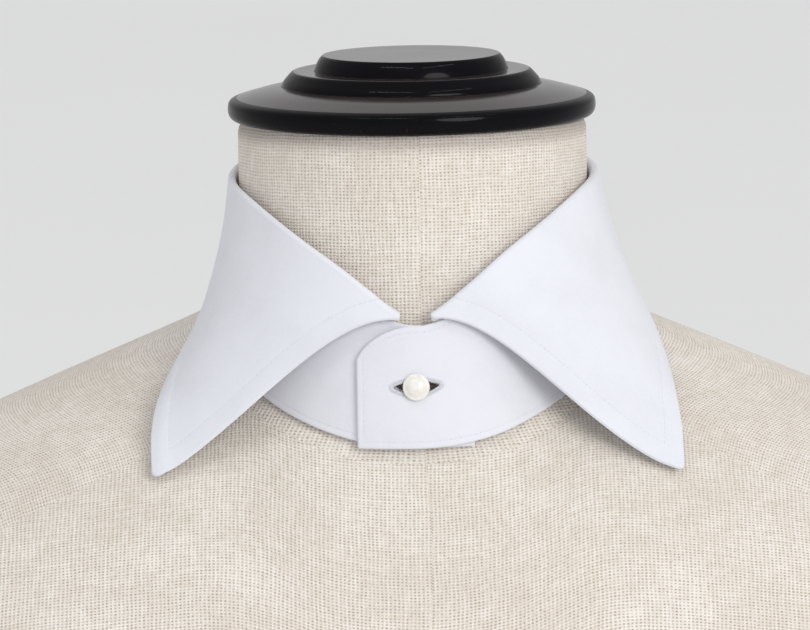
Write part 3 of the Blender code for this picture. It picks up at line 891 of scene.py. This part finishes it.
# %% The lathe
def lathe_tree():
    tree, given, result, node = start_tree("lathe", [
        ("Sides", "Int"), ("Smoothness", "Int"), ("Finish", "Material")])
    profile = node("GeometryNodeMeshToCurve", {0: given["Geometry"]})
    smooth = node("GeometryNodeCurveSplineType", {0: profile.outputs[0]}, spline_type="CATMULL_ROM")
    fine = node("GeometryNodeSetSplineResolution", {"Geometry": smooth.outputs[0],
                                                    "Resolution": given["Smoothness"]})
    points = node("GeometryNodeCurveToPoints", {"Curve": fine.outputs[0]}, mode="EVALUATED")
    count = node("GeometryNodeAttributeDomainSize", {0: points.outputs[0]}, component="POINTCLOUD")
    rings = count.outputs["Point Count"]
    around = node("ShaderNodeMath", {0: given["Sides"], 1: 1.0}, operation="ADD")
    grid = node("GeometryNodeMeshGrid", {"Size X": 1.0, "Size Y": 1.0})
    tree.links.new(around.outputs[0], grid.inputs["Vertices X"])
    tree.links.new(rings, grid.inputs["Vertices Y"])
    index = node("GeometryNodeInputIndex").outputs[0]
    ring = node("ShaderNodeMath", {0: index, 1: rings}, operation="MODULO").outputs[0]
    side = node("ShaderNodeMath", {0: index, 1: rings}, operation="DIVIDE").outputs[0]
    side = node("ShaderNodeMath", {0: side}, operation="FLOOR").outputs[0]
    turn = node("ShaderNodeMath", {0: side, 1: given["Sides"]}, operation="DIVIDE").outputs[0]
    turn = node("ShaderNodeMath", {0: turn, 1: math.tau}, operation="MULTIPLY").outputs[0]
    here = node("GeometryNodeInputPosition").outputs[0]
    place = node("GeometryNodeSampleIndex", {"Geometry": points.outputs[0], "Index": ring},
                 data_type="FLOAT_VECTOR", domain="POINT")
    tree.links.new(here, place.inputs["Value"])
    split = node("ShaderNodeSeparateXYZ", {0: place.outputs[0]})
    cos = node("ShaderNodeMath", {0: turn}, operation="COSINE").outputs[0]
    sin = node("ShaderNodeMath", {0: turn}, operation="SINE").outputs[0]
    x = node("ShaderNodeMath", {0: split.outputs[0], 1: cos}, operation="MULTIPLY").outputs[0]
    y = node("ShaderNodeMath", {0: split.outputs[0], 1: sin}, operation="MULTIPLY").outputs[0]
    wrapped = node("ShaderNodeCombineXYZ", {0: x, 1: y, 2: split.outputs[2]})
    form = node("GeometryNodeSetPosition", {"Geometry": grid.outputs[0], "Position": wrapped.outputs[0]})
    closed = node("GeometryNodeMergeByDistance", {"Geometry": form.outputs[0], "Distance": 1e-6})
    real = node("GeometryNodeRealizeInstances", {0: closed.outputs[0]})
    dressed = node("GeometryNodeSetMaterial", {"Geometry": real.outputs[0],
                                               "Material": given["Finish"]})
    tree.links.new(dressed.outputs[0], result[0])
    return tree


LATHE = lathe_tree()


def turn_on_lathe(name, profile, sides, smoothness, finish, place):
    """Closed turned piece; profile is (radius, height) in millimetres and place puts it on the form."""
    rows = [(r * MM, 0.0, h * MM) for r, h in profile]
    blank = bpy.data.objects.new(name, bpy.data.meshes.new(name))
    blank.data.from_pydata(rows, [(k, k + 1) for k in range(len(rows) - 1)], [])
    bpy.context.collection.objects.link(blank)
    modifier = blank.modifiers.new("lathe", "NODES")
    modifier.node_group = LATHE
    socket_value(modifier, LATHE, {"Sides": sides, "Smoothness": smoothness, "Finish": finish})
    piece = evaluated_mesh(blank, name)
    bm = bmesh.new()
    bm.from_mesh(piece.data)
    bmesh.ops.remove_doubles(bm, verts=bm.verts, dist=2e-6)
    bmesh.ops.dissolve_degenerate(bm, edges=bm.edges, dist=1e-7)
    bmesh.ops.recalc_face_normals(bm, faces=bm.faces)
    bm.transform(place)
    bm.to_mesh(piece.data)
    bm.free()
    piece.data.shade_smooth()
    report(piece)
    return piece


# %% [markdown]
# ## Black lacquer, polished and satin
#
# The cap is wood under black lacquer. The rims are polished nearly black, and the steps that face up are
# rubbed to satin, with more shine to catch the pale room when they are seen from low down. The satin copy
# also has a lighter, warm base colour: painted grey that stands for the room reflected in the upward steps.
# These are two finishes of one lacquer, because their shine differs, and a shine that is set on the shader
# itself goes with the model when it is exported. A little red-brown wood shows at the rims that hands touch.

# %% Lacquer
def lacquer(name, smoothest, base, **shine):
    finish = Finish(name, smoothest, Coat_IOR=1.45, **shine)
    solid = finish.node("TexCoord").outputs["Object"]
    up = finish.node("SeparateXYZ", {0: finish.node("NewGeometry").outputs["Normal"]}).outputs[2]
    stretched = finish.node("Mapping", {"Vector": solid, "Scale": (1.0, 9.0, 9.0)}).outputs[0]
    grain = finish.noise(stretched, 60.0, 4.0, 0.6)
    smears = finish.noise(solid, 55.0, 4.0, 0.6)
    clouded = tuple(1.25 * part for part in base[:3]) + (1,)
    body = finish.mix(finish.ramp(smears, 0.35, 0.7), base, clouded)
    flecks = finish.ramp(finish.noise(solid, 420.0, 2.0, 0.7), 0.66, 0.74)
    rim = finish.maths("MULTIPLY", flecks, finish.ramp(up, 0.5, -0.2, 0.0, 0.45))
    finish.colour(finish.mix(rim, body, (0.055, 0.018, 0.010, 1)))
    finish.rough(finish.maths("MULTIPLY_ADD", smears, 0.10, smoothest))
    finish.bump(finish.maths("ADD", grain, smears), 0.00005, 0.12)
    return finish.material


# %% Turn the cap
CAP_PROFILE = [
    (0.0, 1.0), (30.0, 1.0), (55.0, 1.0), (57.9, 1.0), (58.6, 1.1), (59.5, 1.7), (60.1, 2.7), (60.35, 3.8),
    (60.35, 5.2), (60.15, 6.3), (59.75, 7.0), (59.1, 7.5), (58.0, 7.95), (55.0, 8.85), (50.0, 10.2),
    (45.5, 11.15), (43.1, 11.5), (42.55, 11.75), (42.4, 12.3), (42.0, 13.1), (41.4, 13.9), (40.5, 14.9),
    (39.7, 15.75), (38.9, 16.3), (37.9, 16.45), (35.0, 16.4), (32.2, 16.35), (31.8, 16.6), (31.65, 17.1),
    (31.3, 18.1), (30.8, 19.2), (30.2, 20.2), (29.4, 21.15), (28.8, 21.42), (28.0, 21.5), (18.0, 21.45),
    (8.0, 21.45), (0.0, 21.45)]
polished = lacquer("black_lacquer_polished", 0.2, (0.0025, 0.002, 0.003, 1), Coat_Weight=0.15,
                   Coat_Roughness=0.03, Specular_IOR_Level=0.03)
# The satin copy has more shine, and its lighter warm base is painted grey reflection of the room.
satin_and_painted_grey = lacquer("black_lacquer_satin_and_painted_grey", 0.11, (0.035, 0.026, 0.025, 1), Specular_IOR_Level=0.55)
cap_lacquer = turn_on_lathe("cap_lacquer", CAP_PROFILE, 144, 4, polished,
                            Matrix.Translation((0, 0, NECK_TOP * MM)))
cap_lacquer.data.materials.clear()
cap_lacquer.data.materials.append(polished)
cap_lacquer.data.materials.append(satin_and_painted_grey)
FACES_UP = 0.955
# Faces that point up take the satin copy, so its painted grey lies only on the upward steps.
for face in cap_lacquer.data.polygons:
    face.material_index = int(face.normal.z > FACES_UP)

# %% [markdown]
# ## The stud
#
# A collar stud is two discs on a short post. It stands square to the band, through both buttonholes.

# %% The stud
def stud_finish():
    finish = Finish("polished_stud", 0.22, Coat_Weight=0.4, Coat_Roughness=0.08)
    solid = finish.node("TexCoord").outputs["Object"]
    cloud = finish.noise(solid, 320.0, 3.0, 0.6)
    finish.colour(finish.mix(finish.ramp(cloud, 0.3, 0.7), (0.80, 0.77, 0.72, 1), (0.90, 0.88, 0.84, 1)))
    finish.rough(finish.ramp(cloud, 0.3, 0.7, 0.16, 0.28))
    return finish.material


STUD_PROFILE = [
    (0.0, -4.05), (1.6, -4.05), (3.0, -4.05), (3.4, -3.95), (3.6, -3.65), (3.55, -3.3), (3.3, -3.08),
    (2.4, -3.05), (1.8, -3.05), (1.6, -2.9), (1.6, -1.0), (1.6, 0.9), (1.8, 1.1), (2.8, 1.1), (3.9, 1.12),
    (4.22, 1.3), (4.3, 1.6), (4.2, 1.95), (3.9, 2.2), (3.55, 2.3), (3.2, 2.55), (2.3, 3.2), (1.2, 3.55),
    (0.5, 3.65), (0.0, 3.66)]
rise = band_point(180.0, 1.0) - band_point(180.0, 0.0)
stand = band_point(180.0, HOLE_MIDDLE) + (0, 0, NECK_TOP + 0.14)
lean = Matrix.Rotation(math.atan2(rise[2], rise[1]), 4, "X")
stud = turn_on_lathe("stud_turned", STUD_PROFILE, 48, 3, stud_finish(),
                     Matrix.Translation(Vector(stand * MM)) @ lean)

# %% [markdown]
# ## The dress form
#
# The form is one smooth body under a linen cover. The cover is cut in panels that meet at the centre
# front and back, at the shoulders and round the base of the neck, and each panel has its own straight
# weave. So each panel gets its own flat chart in real metres, and the weave turns where panels meet.

# %% Rings of the form
FORM = [
    ("ring", "half_width", "front", "back", "front_drop", "side_drop", "back_drop", "square"),
    ("neck_top", 57.2, 57.2, 57.2, 0.3, 0.3, 0.3, 2.0),
    ("neck_high", 57.2, 57.6, 57.2, 12.0, 8.5, 8.0, 2.0),
    ("neck_middle", 57.3, 59.5, 57.4, 40.0, 28.0, 22.0, 2.0),
    ("neck_low", 57.6, 62.4, 58.4, 72.0, 47.0, 38.0, 2.0),
    ("neck_base", 60.8, 66.8, 62.0, 94.0, 61.5, 50.5, 2.0),
    ("collar_bone", 72.0, 74.0, 70.0, 108.5, 73.0, 62.5, 2.2),
    ("shoulder_in", 98.0, 86.0, 83.0, 121.5, 83.5, 74.5, 2.35),
    ("shoulder_mid", 140.0, 100.0, 97.0, 141.0, 99.0, 96.5, 2.35),
    ("shoulder_out", 178.0, 111.0, 107.0, 166.0, 115.0, 121.0, 2.35),
    ("shoulder_tip", 199.0, 118.0, 113.0, 193.0, 133.0, 146.0, 2.3),
    ("arm_top", 206.0, 122.0, 116.0, 216.0, 157.0, 176.0, 2.4),
    ("arm", 200.0, 124.0, 115.5, 236.0, 190.0, 204.0, 2.5),
    ("chest", 184.0, 124.0, 112.0, 260.0, 232.0, 236.0, 2.5),
    ("under_chest", 170.0, 119.5, 107.0, 292.0, 274.0, 276.0, 2.5),
    ("waist", 162.0, 113.0, 102.5, 322.0, 311.0, 312.0, 2.5),
    ("bottom", 160.0, 110.5, 101.0, 335.0, 335.0, 335.0, 2.5)]


def form_rings(count):
    """Rings of the dress form on a smooth curve through its table."""
    rows = np.array([row[1:] for row in FORM[1:]], float)
    rows = np.vstack([2 * rows[0] - rows[1], rows, 2 * rows[-1] - rows[-2]])
    place = np.linspace(0, len(rows) - 3, count)
    i = np.minimum(place.astype(int), len(rows) - 4)
    t = (place - i)[:, None]
    return ((1 - t)**3 * rows[i] + (3 * t**3 - 6 * t**2 + 4) * rows[i + 1]
            + (-3 * t**3 + 3 * t**2 + 3 * t + 1) * rows[i + 2] + t**3 * rows[i + 3]) / 6


SEAM_STEPS = [-1.5, -1.0, -0.7, -0.45, -0.25, 0.0, 0.25, 0.45, 0.7, 1.0, 1.5]
FORM_W = np.unique(np.concatenate([np.array(SEAM_STEPS) % 360, 180 + np.array(SEAM_STEPS),
                                   np.arange(2.5, 178, 2.5), np.arange(182.5, 358, 2.5)]))
FORM_RINGS = 151
SEAM_TURN = -1.9


def form_points():
    fade = smoothstep(np.linspace(0, 15, FORM_RINGS), 4.6, 9)
    w = np.radians(FORM_W + SEAM_TURN * (1 - fade[:, None]))
    half_width, front, back, front_drop, side_drop, back_drop, square = form_rings(FORM_RINGS).T[..., None]
    sin, cos = np.sin(w), np.cos(w)
    x = half_width * np.abs(sin)**(2 / square) * np.sign(sin)
    deep = np.abs(cos)**(2 / square) * np.sign(cos)
    drop = (side_drop + (back_drop - front_drop) / 2 * deep
            + ((back_drop + front_drop) / 2 - side_drop) * deep**2)
    return np.stack([x, np.where(cos > 0, back, front) * deep, -drop], -1)


FORM_GRID = form_points()
tucked = 1 - 0.028 * bell(FORM_GRID[..., 2:], 1.0, 2.2)
tucked[FORM_GRID[..., 2] < -9] = 1
FORM_GRID[..., :2] *= tucked
FORM_GRID[0, :, 2] += 0.9
NECK_RINGS = int(round(4.6 / 15 * (FORM_RINGS - 1)))
print("form grid:", FORM_GRID.shape[:2], "neck panel ends at drop",
      round(-FORM_GRID[NECK_RINGS, len(FORM_W) // 2, 2], 1), "mm in front")


# %% Charts of the panels
def straight_chart(grid, reach, across):
    """Flat chart of a panel whose columns are in reach: x or y across, the length along the cloth down."""
    down = np.zeros(grid.shape[:2])
    panel = np.where(reach)[0]
    panel = panel[np.argsort(grid[-1, panel, across])]
    for i in range(1, len(grid)):
        before, now = grid[i - 1, panel], grid[i, panel]
        other, z, run = (np.interp(now[:, across], before[:, across], v) for v in
                         (before[:, 1 - across], before[:, 2], down[i - 1, panel]))
        down[i, panel] = run + np.hypot(now[:, 1 - across] - other, now[:, 2] - z)
    return np.stack([grid[..., across], down], -1)


NECK_RADIUS = 57.5
angle = np.radians((FORM_W + 180) % 360 - 180)
steps = np.linalg.norm(np.diff(FORM_GRID, axis=0), axis=-1)
meridian = np.concatenate([np.zeros((1, len(FORM_W))), np.cumsum(steps, 0)])
dip = 3.2 * np.cos(np.radians(FORM_W - 180))
neck_chart = np.stack([angle * NECK_RADIUS + 0 * meridian, meridian + dip], -1)
SIDE_FROM, SIDE_TO = 60.0, 120.0
turned_to = np.abs(angle) * 180 / math.pi
FRONT_CHART = straight_chart(FORM_GRID, turned_to > SIDE_TO - 0.01, 0)
BACK_CHART = straight_chart(FORM_GRID, turned_to < SIDE_FROM + 0.01, 0)
at_side = (turned_to > SIDE_FROM - 0.01) & (turned_to < SIDE_TO + 0.01)
SIDE_CHARTS = {True: straight_chart(FORM_GRID, at_side & (angle > 0), 1),
               False: straight_chart(FORM_GRID, at_side & (angle < 0), 1)}


def form_charts(faces, sides):
    corners = []
    for face in faces:
        ring, place = np.divmod(np.array(face), sides)
        angles = FORM_W[place]
        middle = abs((angles.mean() + 180) % 360 - 180)
        if angles.max() - angles.min() > 180:
            middle = 0.0
        right = np.sin(np.radians(angles)).mean() > 0
        if ring.max() <= NECK_RINGS:
            chart = neck_chart[ring, place].copy()
            if right:
                chart[angles == 180, 0] = math.pi * NECK_RADIUS
            start = (0.0, 0.0) if right else (0.43, 0.55)
        elif middle > SIDE_TO:
            chart = FRONT_CHART[ring, place]
            start = (120.0, 3.0) if right else (120.4, 3.4)
        elif middle < SIDE_FROM:
            chart = BACK_CHART[ring, place]
            start = (120.0, 3.0) if right else (120.4, 3.4)
        else:
            chart = SIDE_CHARTS[bool(right)][ring, place]
            start = (240.2, 3.7) if right else (240.6, 3.2)
        corners.append((chart + start) * MM)
    return np.concatenate(corners)


# %% Make the linen cover
def form_faces(rings, sides):
    faces = []
    for i in range(rings - 1):
        for k in range(sides):
            n = (k + 1) % sides
            faces.append((i * sides + k, i * sides + n, (i + 1) * sides + n, (i + 1) * sides + k))
    top = [tuple(range(sides))[::-1]]
    bottom = [tuple((rings - 1) * sides + k for k in range(sides))]
    return faces, top + bottom


def seam_groove(grid):
    """Narrow dips where panels meet: centre front, centre back and round the base of the neck."""
    normal = unit(np.cross(along(grid, 1), along(grid, 0)))
    if np.mean(np.sum(normal[10:20] * grid[10:20] * (1, 1, 0), -1)) < 0:
        normal = -normal
    front, back = (grid[:, [int(np.argmin(np.abs(FORM_W - w)))], 0] for w in (180, 0))
    behind = np.cos(np.radians(FORM_W)) > 0
    across = np.where(behind, np.abs(grid[..., 0] - back), np.abs(grid[..., 0] - front))
    depth = 0.16 * bell(across, 0, 0.4) - 0.03 * bell(across, 1.3, 0.6)
    ring = np.arange(len(grid))[:, None]
    depth = np.maximum(depth, 0.22 * (ring == NECK_RINGS))
    return grid - normal * depth[..., None]


shaped = seam_groove(FORM_GRID)
shaped[0], shaped[-1] = FORM_GRID[0], FORM_GRID[-1]
sides = len(FORM_W)
walls, ends = form_faces(FORM_RINGS, sides)
wall_uv = form_charts(walls, sides)
end_uv = np.concatenate([shaped.reshape(-1, 3)[list(face)][:, :2] * MM for face in ends])
form_linen = new_piece("form_linen", shaped.reshape(-1, 3), walls + ends, None, 40,
                       np.concatenate([wall_uv, end_uv]))
bm = bmesh.new()
bm.from_mesh(form_linen.data)
bmesh.ops.recalc_face_normals(bm, faces=bm.faces)
bm.to_mesh(form_linen.data)
bm.free()
report(form_linen)

# %% [markdown]
# ## Coarse linen
#
# Plain weave with about eight threads to the centimetre. From here it reads as cream threads with a small
# tan hole between every four. The holes differ in depth, threads swell and thin along their length, and
# the whole cloth wanders a little off the straight.

# %% Linen
THREAD_ACROSS, THREAD_DOWN = 0.00130, 0.00104


def linen():
    finish = Finish("undyed_linen", 0.9, Specular_IOR_Level=0.15, Sheen_Weight=0.12, Sheen_Roughness=0.6)
    place = finish.node("UVMap", uv_map="cloth").outputs[0]
    solid = finish.node("TexCoord").outputs["Object"]
    drift = finish.node("TexNoise", {"Vector": place, "Scale": 55.0, "Detail": 2.0})
    jitter = finish.node("TexNoise", {"Vector": place, "Scale": 520.0, "Detail": 1.0})
    moves = []
    for noise, reach in ((drift, 0.0013), (jitter, 0.00032)):
        centred = finish.node("VectorMath", {0: noise.outputs["Color"], 1: (0.5, 0.5, 0.5)},
                              operation="SUBTRACT").outputs[0]
        moves.append(finish.node("VectorMath", {0: centred, "Scale": reach}, operation="SCALE").outputs[0])
    wandering = finish.node("VectorMath", {0: place, 1: moves[0]}, operation="ADD").outputs[0]
    wandering = finish.node("VectorMath", {0: wandering, 1: moves[1]}, operation="ADD").outputs[0]
    threads = finish.node("VectorMath", {0: wandering, 1: (1 / THREAD_ACROSS, 1 / THREAD_DOWN, 1.0)},
                          operation="MULTIPLY").outputs[0]
    cell = finish.node("VectorMath", {0: threads}, operation="FLOOR").outputs[0]
    within = finish.node("VectorMath", {0: threads}, operation="FRACTION").outputs[0]
    centre = finish.node("VectorMath", {0: within, 1: (0.5, 0.5, 0.0)}, operation="SUBTRACT").outputs[0]
    split = finish.node("SeparateXYZ", {0: centre})
    u, v = split.outputs[0], split.outputs[1]
    luck = finish.node("TexWhiteNoise", {"Vector": cell}, noise_dimensions="2D").outputs["Value"]
    du = finish.maths("DIVIDE", u, 0.40)
    dv = finish.maths("DIVIDE", v, 0.36)
    radius = finish.maths("SQRT", finish.maths("ADD", finish.maths("MULTIPLY", du, du),
                                               finish.maths("MULTIPLY", dv, dv)))
    hole = finish.ramp(radius, 1.0, 0.1)
    hole = finish.maths("MULTIPLY", hole, finish.ramp(luck, 0.0, 1.0, 0.26, 0.74))
    warp = finish.maths("ABSOLUTE", finish.maths("SINE", finish.maths("MULTIPLY", u, math.pi)))
    weft = finish.maths("ABSOLUTE", finish.maths("SINE", finish.maths("MULTIPLY", v, math.pi)))
    parity = finish.maths("COSINE", finish.maths("MULTIPLY", finish.node("SeparateXYZ", {
        0: threads}).outputs[0], math.pi))
    parity = finish.maths("MULTIPLY", parity, finish.maths("COSINE", finish.maths(
        "MULTIPLY", finish.node("SeparateXYZ", {0: threads}).outputs[1], math.pi)))
    warp = finish.maths("MULTIPLY", warp, finish.maths("MULTIPLY_ADD", parity, 0.4, 0.75))
    weft = finish.maths("MULTIPLY", weft, finish.maths("MULTIPLY_ADD", parity, -0.4, 0.75))
    height = finish.maths("MAXIMUM", warp, weft)
    slub = finish.noise(finish.node("VectorMath", {0: threads, 1: (1.0, 0.14, 1.0)},
                                    operation="MULTIPLY").outputs[0], 0.9, 2.0)
    slub_across = finish.noise(finish.node("VectorMath", {0: threads, 1: (0.14, 1.0, 1.0)},
                                           operation="MULTIPLY").outputs[0], 0.9, 2.0)
    patches = finish.noise(solid, 26.0, 3.0, 0.6)
    shade = finish.maths("ADD", finish.maths("MULTIPLY", slub, 0.5), finish.maths("MULTIPLY",
                                                                                 slub_across, 0.5))
    shade = finish.maths("MULTIPLY_ADD", patches, 0.5, finish.maths("MULTIPLY", shade, 0.8))
    # Painted shade in the weave: thread crowns are coloured lighter and the low places between them darker.
    shade = finish.maths("ADD", shade, finish.maths("MULTIPLY_ADD", height, 0.22, -0.2))
    cream = finish.mix(finish.ramp(shade, 0.45, 0.85), (0.76, 0.69, 0.61, 1), (0.91, 0.865, 0.81, 1))
    woven = finish.mix(hole, cream, (0.36, 0.275, 0.205, 1))
    # Painted shade: the linen colour is darkened towards the top of the neck, where the cap's rim overhangs
    # it.
    high = finish.node("SeparateXYZ", {0: solid}).outputs[2]
    painted_shade_under_cap = finish.ramp(high, (NECK_TOP - 6.5) * MM, (NECK_TOP - 2.0) * MM, 0.0, 0.45)
    finish.colour(finish.mix(painted_shade_under_cap, woven, (0.36, 0.31, 0.29, 1)))
    relief = finish.maths("SUBTRACT", finish.maths("MULTIPLY_ADD", shade, 0.5, height), hole)
    finish.bump(relief, 0.00022, 0.8)
    return finish.material


form_linen.data.materials.append(linen())

# %% [markdown]
# ## Who rides on what
#
# Nothing here moves on a joint, so every piece rides on the one body. Each fine piece stands for its
# imported solid, which is hidden.

# %% Tie the pieces to the imported model
PARTS = [
    (leaf_cloth, "collar_leaf", "collar_cotton"),
    (band_cloth, "collar_band", "band_cotton"),
    (stud, "front_stud", "stud_white"),
    (form_linen, "form_body", "form_linen"),
    (cap_lacquer, "form_cap", "cap_lacquer")]
for piece, node, slot in PARTS:
    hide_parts(node)
    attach(piece, "root")
for piece, slot in ((leaf_stitches, "collar_cotton"), (band_stitches, "band_cotton"),
                    (buttonhole_stitches, "band_cotton")):
    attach(piece, "root")

# %% [markdown]
# ## Floor, light and camera
#
# A plain pale floor runs out of sight in every direction. A large soft lamp stands on the right above the
# camera, and the pale room fills the shade, so the left side is soft and slightly cooler. Two narrow lamps
# high in front draw the long highlights on the polished rim of the cap. The strengths were found by
# comparing how bright each region is in a render and in the photograph, as a photographer does with a meter.

# %% Floor
floor_finish = Finish("pale_floor", 0.9, Specular_IOR_Level=0.1)
floor_place = floor_finish.node("TexCoord").outputs["Object"]
floor_clouds = floor_finish.noise(floor_place, 2.2, 5.0, 0.6)
floor_finish.colour(floor_finish.mix(floor_clouds, (0.95, 0.95, 0.95, 1), (0.975, 0.975, 0.975, 1)))
floor_mesh = bpy.data.meshes.new("floor")
reach = 40.0
floor_mesh.from_pydata([(-reach, -reach, 0), (reach, -reach, 0), (reach, reach, 0), (-reach, reach, 0)], [],
                       [(0, 1, 2, 3)])
floor_mesh.materials.append(floor_finish.material)
floor = bpy.data.objects.new("floor", floor_mesh)
bpy.context.collection.objects.link(floor)

# %% Light
scene = bpy.context.scene
scene.view_settings.view_transform = "Standard"
world = bpy.data.worlds.new("room")
world.use_nodes = True
world.node_tree.nodes["Background"].inputs[0].default_value = (0.985, 0.99, 1.0, 1)
world.node_tree.nodes["Background"].inputs[1].default_value = 0.605
scene.world = world


def from_side(azimuth, height, distance=2.6):
    """Place seen from the collar: azimuth in degrees to the right of the camera, height in degrees."""
    flat = distance * math.cos(math.radians(height))
    return (flat * math.sin(math.radians(azimuth)), -flat * math.cos(math.radians(azimuth)),
            0.26 + distance * math.sin(math.radians(height)))


def aimed(name, light, place):
    holder = bpy.data.objects.new(name, light)
    holder.location = place
    holder.rotation_euler = (Vector((0.0, -0.03, 0.26)) - Vector(place)).to_track_quat("-Z", "Y").to_euler()
    bpy.context.collection.objects.link(holder)


def soft_sun(name, azimuth, height, strength, width, tint):
    light = bpy.data.lights.new(name, "SUN")
    light.energy = strength
    light.angle = math.radians(width)
    light.color = tint
    aimed(name, light, from_side(azimuth, height))


def strip(name, azimuth, height, power, size):
    light = bpy.data.lights.new(name, "AREA")
    light.shape = "RECTANGLE"
    light.size, light.size_y = size
    light.energy = power
    aimed(name, light, from_side(azimuth, height, 2.2))


soft_sun("soft_right", 31, 21, 1.22, 30, (1.0, 0.99, 0.965))
strip("strip_left", -26, 60, 4.2, (1.2, 0.016))
strip("strip_right", 50, 60, 2.2, (1.3, 0.016))

# %% Camera
EYE = Vector((0.0, -1.8, (NECK_TOP + 198.1) * MM))
FOCAL = 183.5 / 60.3 * math.hypot(1800, 198.1)
pitch = math.atan2(198.1, 1800) + math.atan((315 - 119) / FOCAL)
yaw = math.atan((415.2 - 405) / FOCAL)
roll = math.radians(0.95)
ahead = Vector((-math.sin(yaw) * math.cos(pitch), math.cos(yaw) * math.cos(pitch), -math.sin(pitch)))
right = ahead.cross(Vector((0, 0, 1))).normalized()
up = right.cross(ahead)
right, up = (right * math.cos(roll) - up * math.sin(roll), up * math.cos(roll) + right * math.sin(roll))
camera_data = bpy.data.cameras.new("camera")
camera_data.sensor_width = 36.0
camera_data.lens = FOCAL / 810 * 36.0
camera_data.clip_end = 200.0
camera = bpy.data.objects.new("camera", camera_data)
camera.matrix_world = Matrix.Translation(EYE) @ Matrix((right, up, -ahead)).transposed().to_4x4()
bpy.context.collection.objects.link(camera)
scene.camera = camera
print("lens", round(camera_data.lens, 1), "mm, looking down", round(math.degrees(pitch), 2), "degrees")
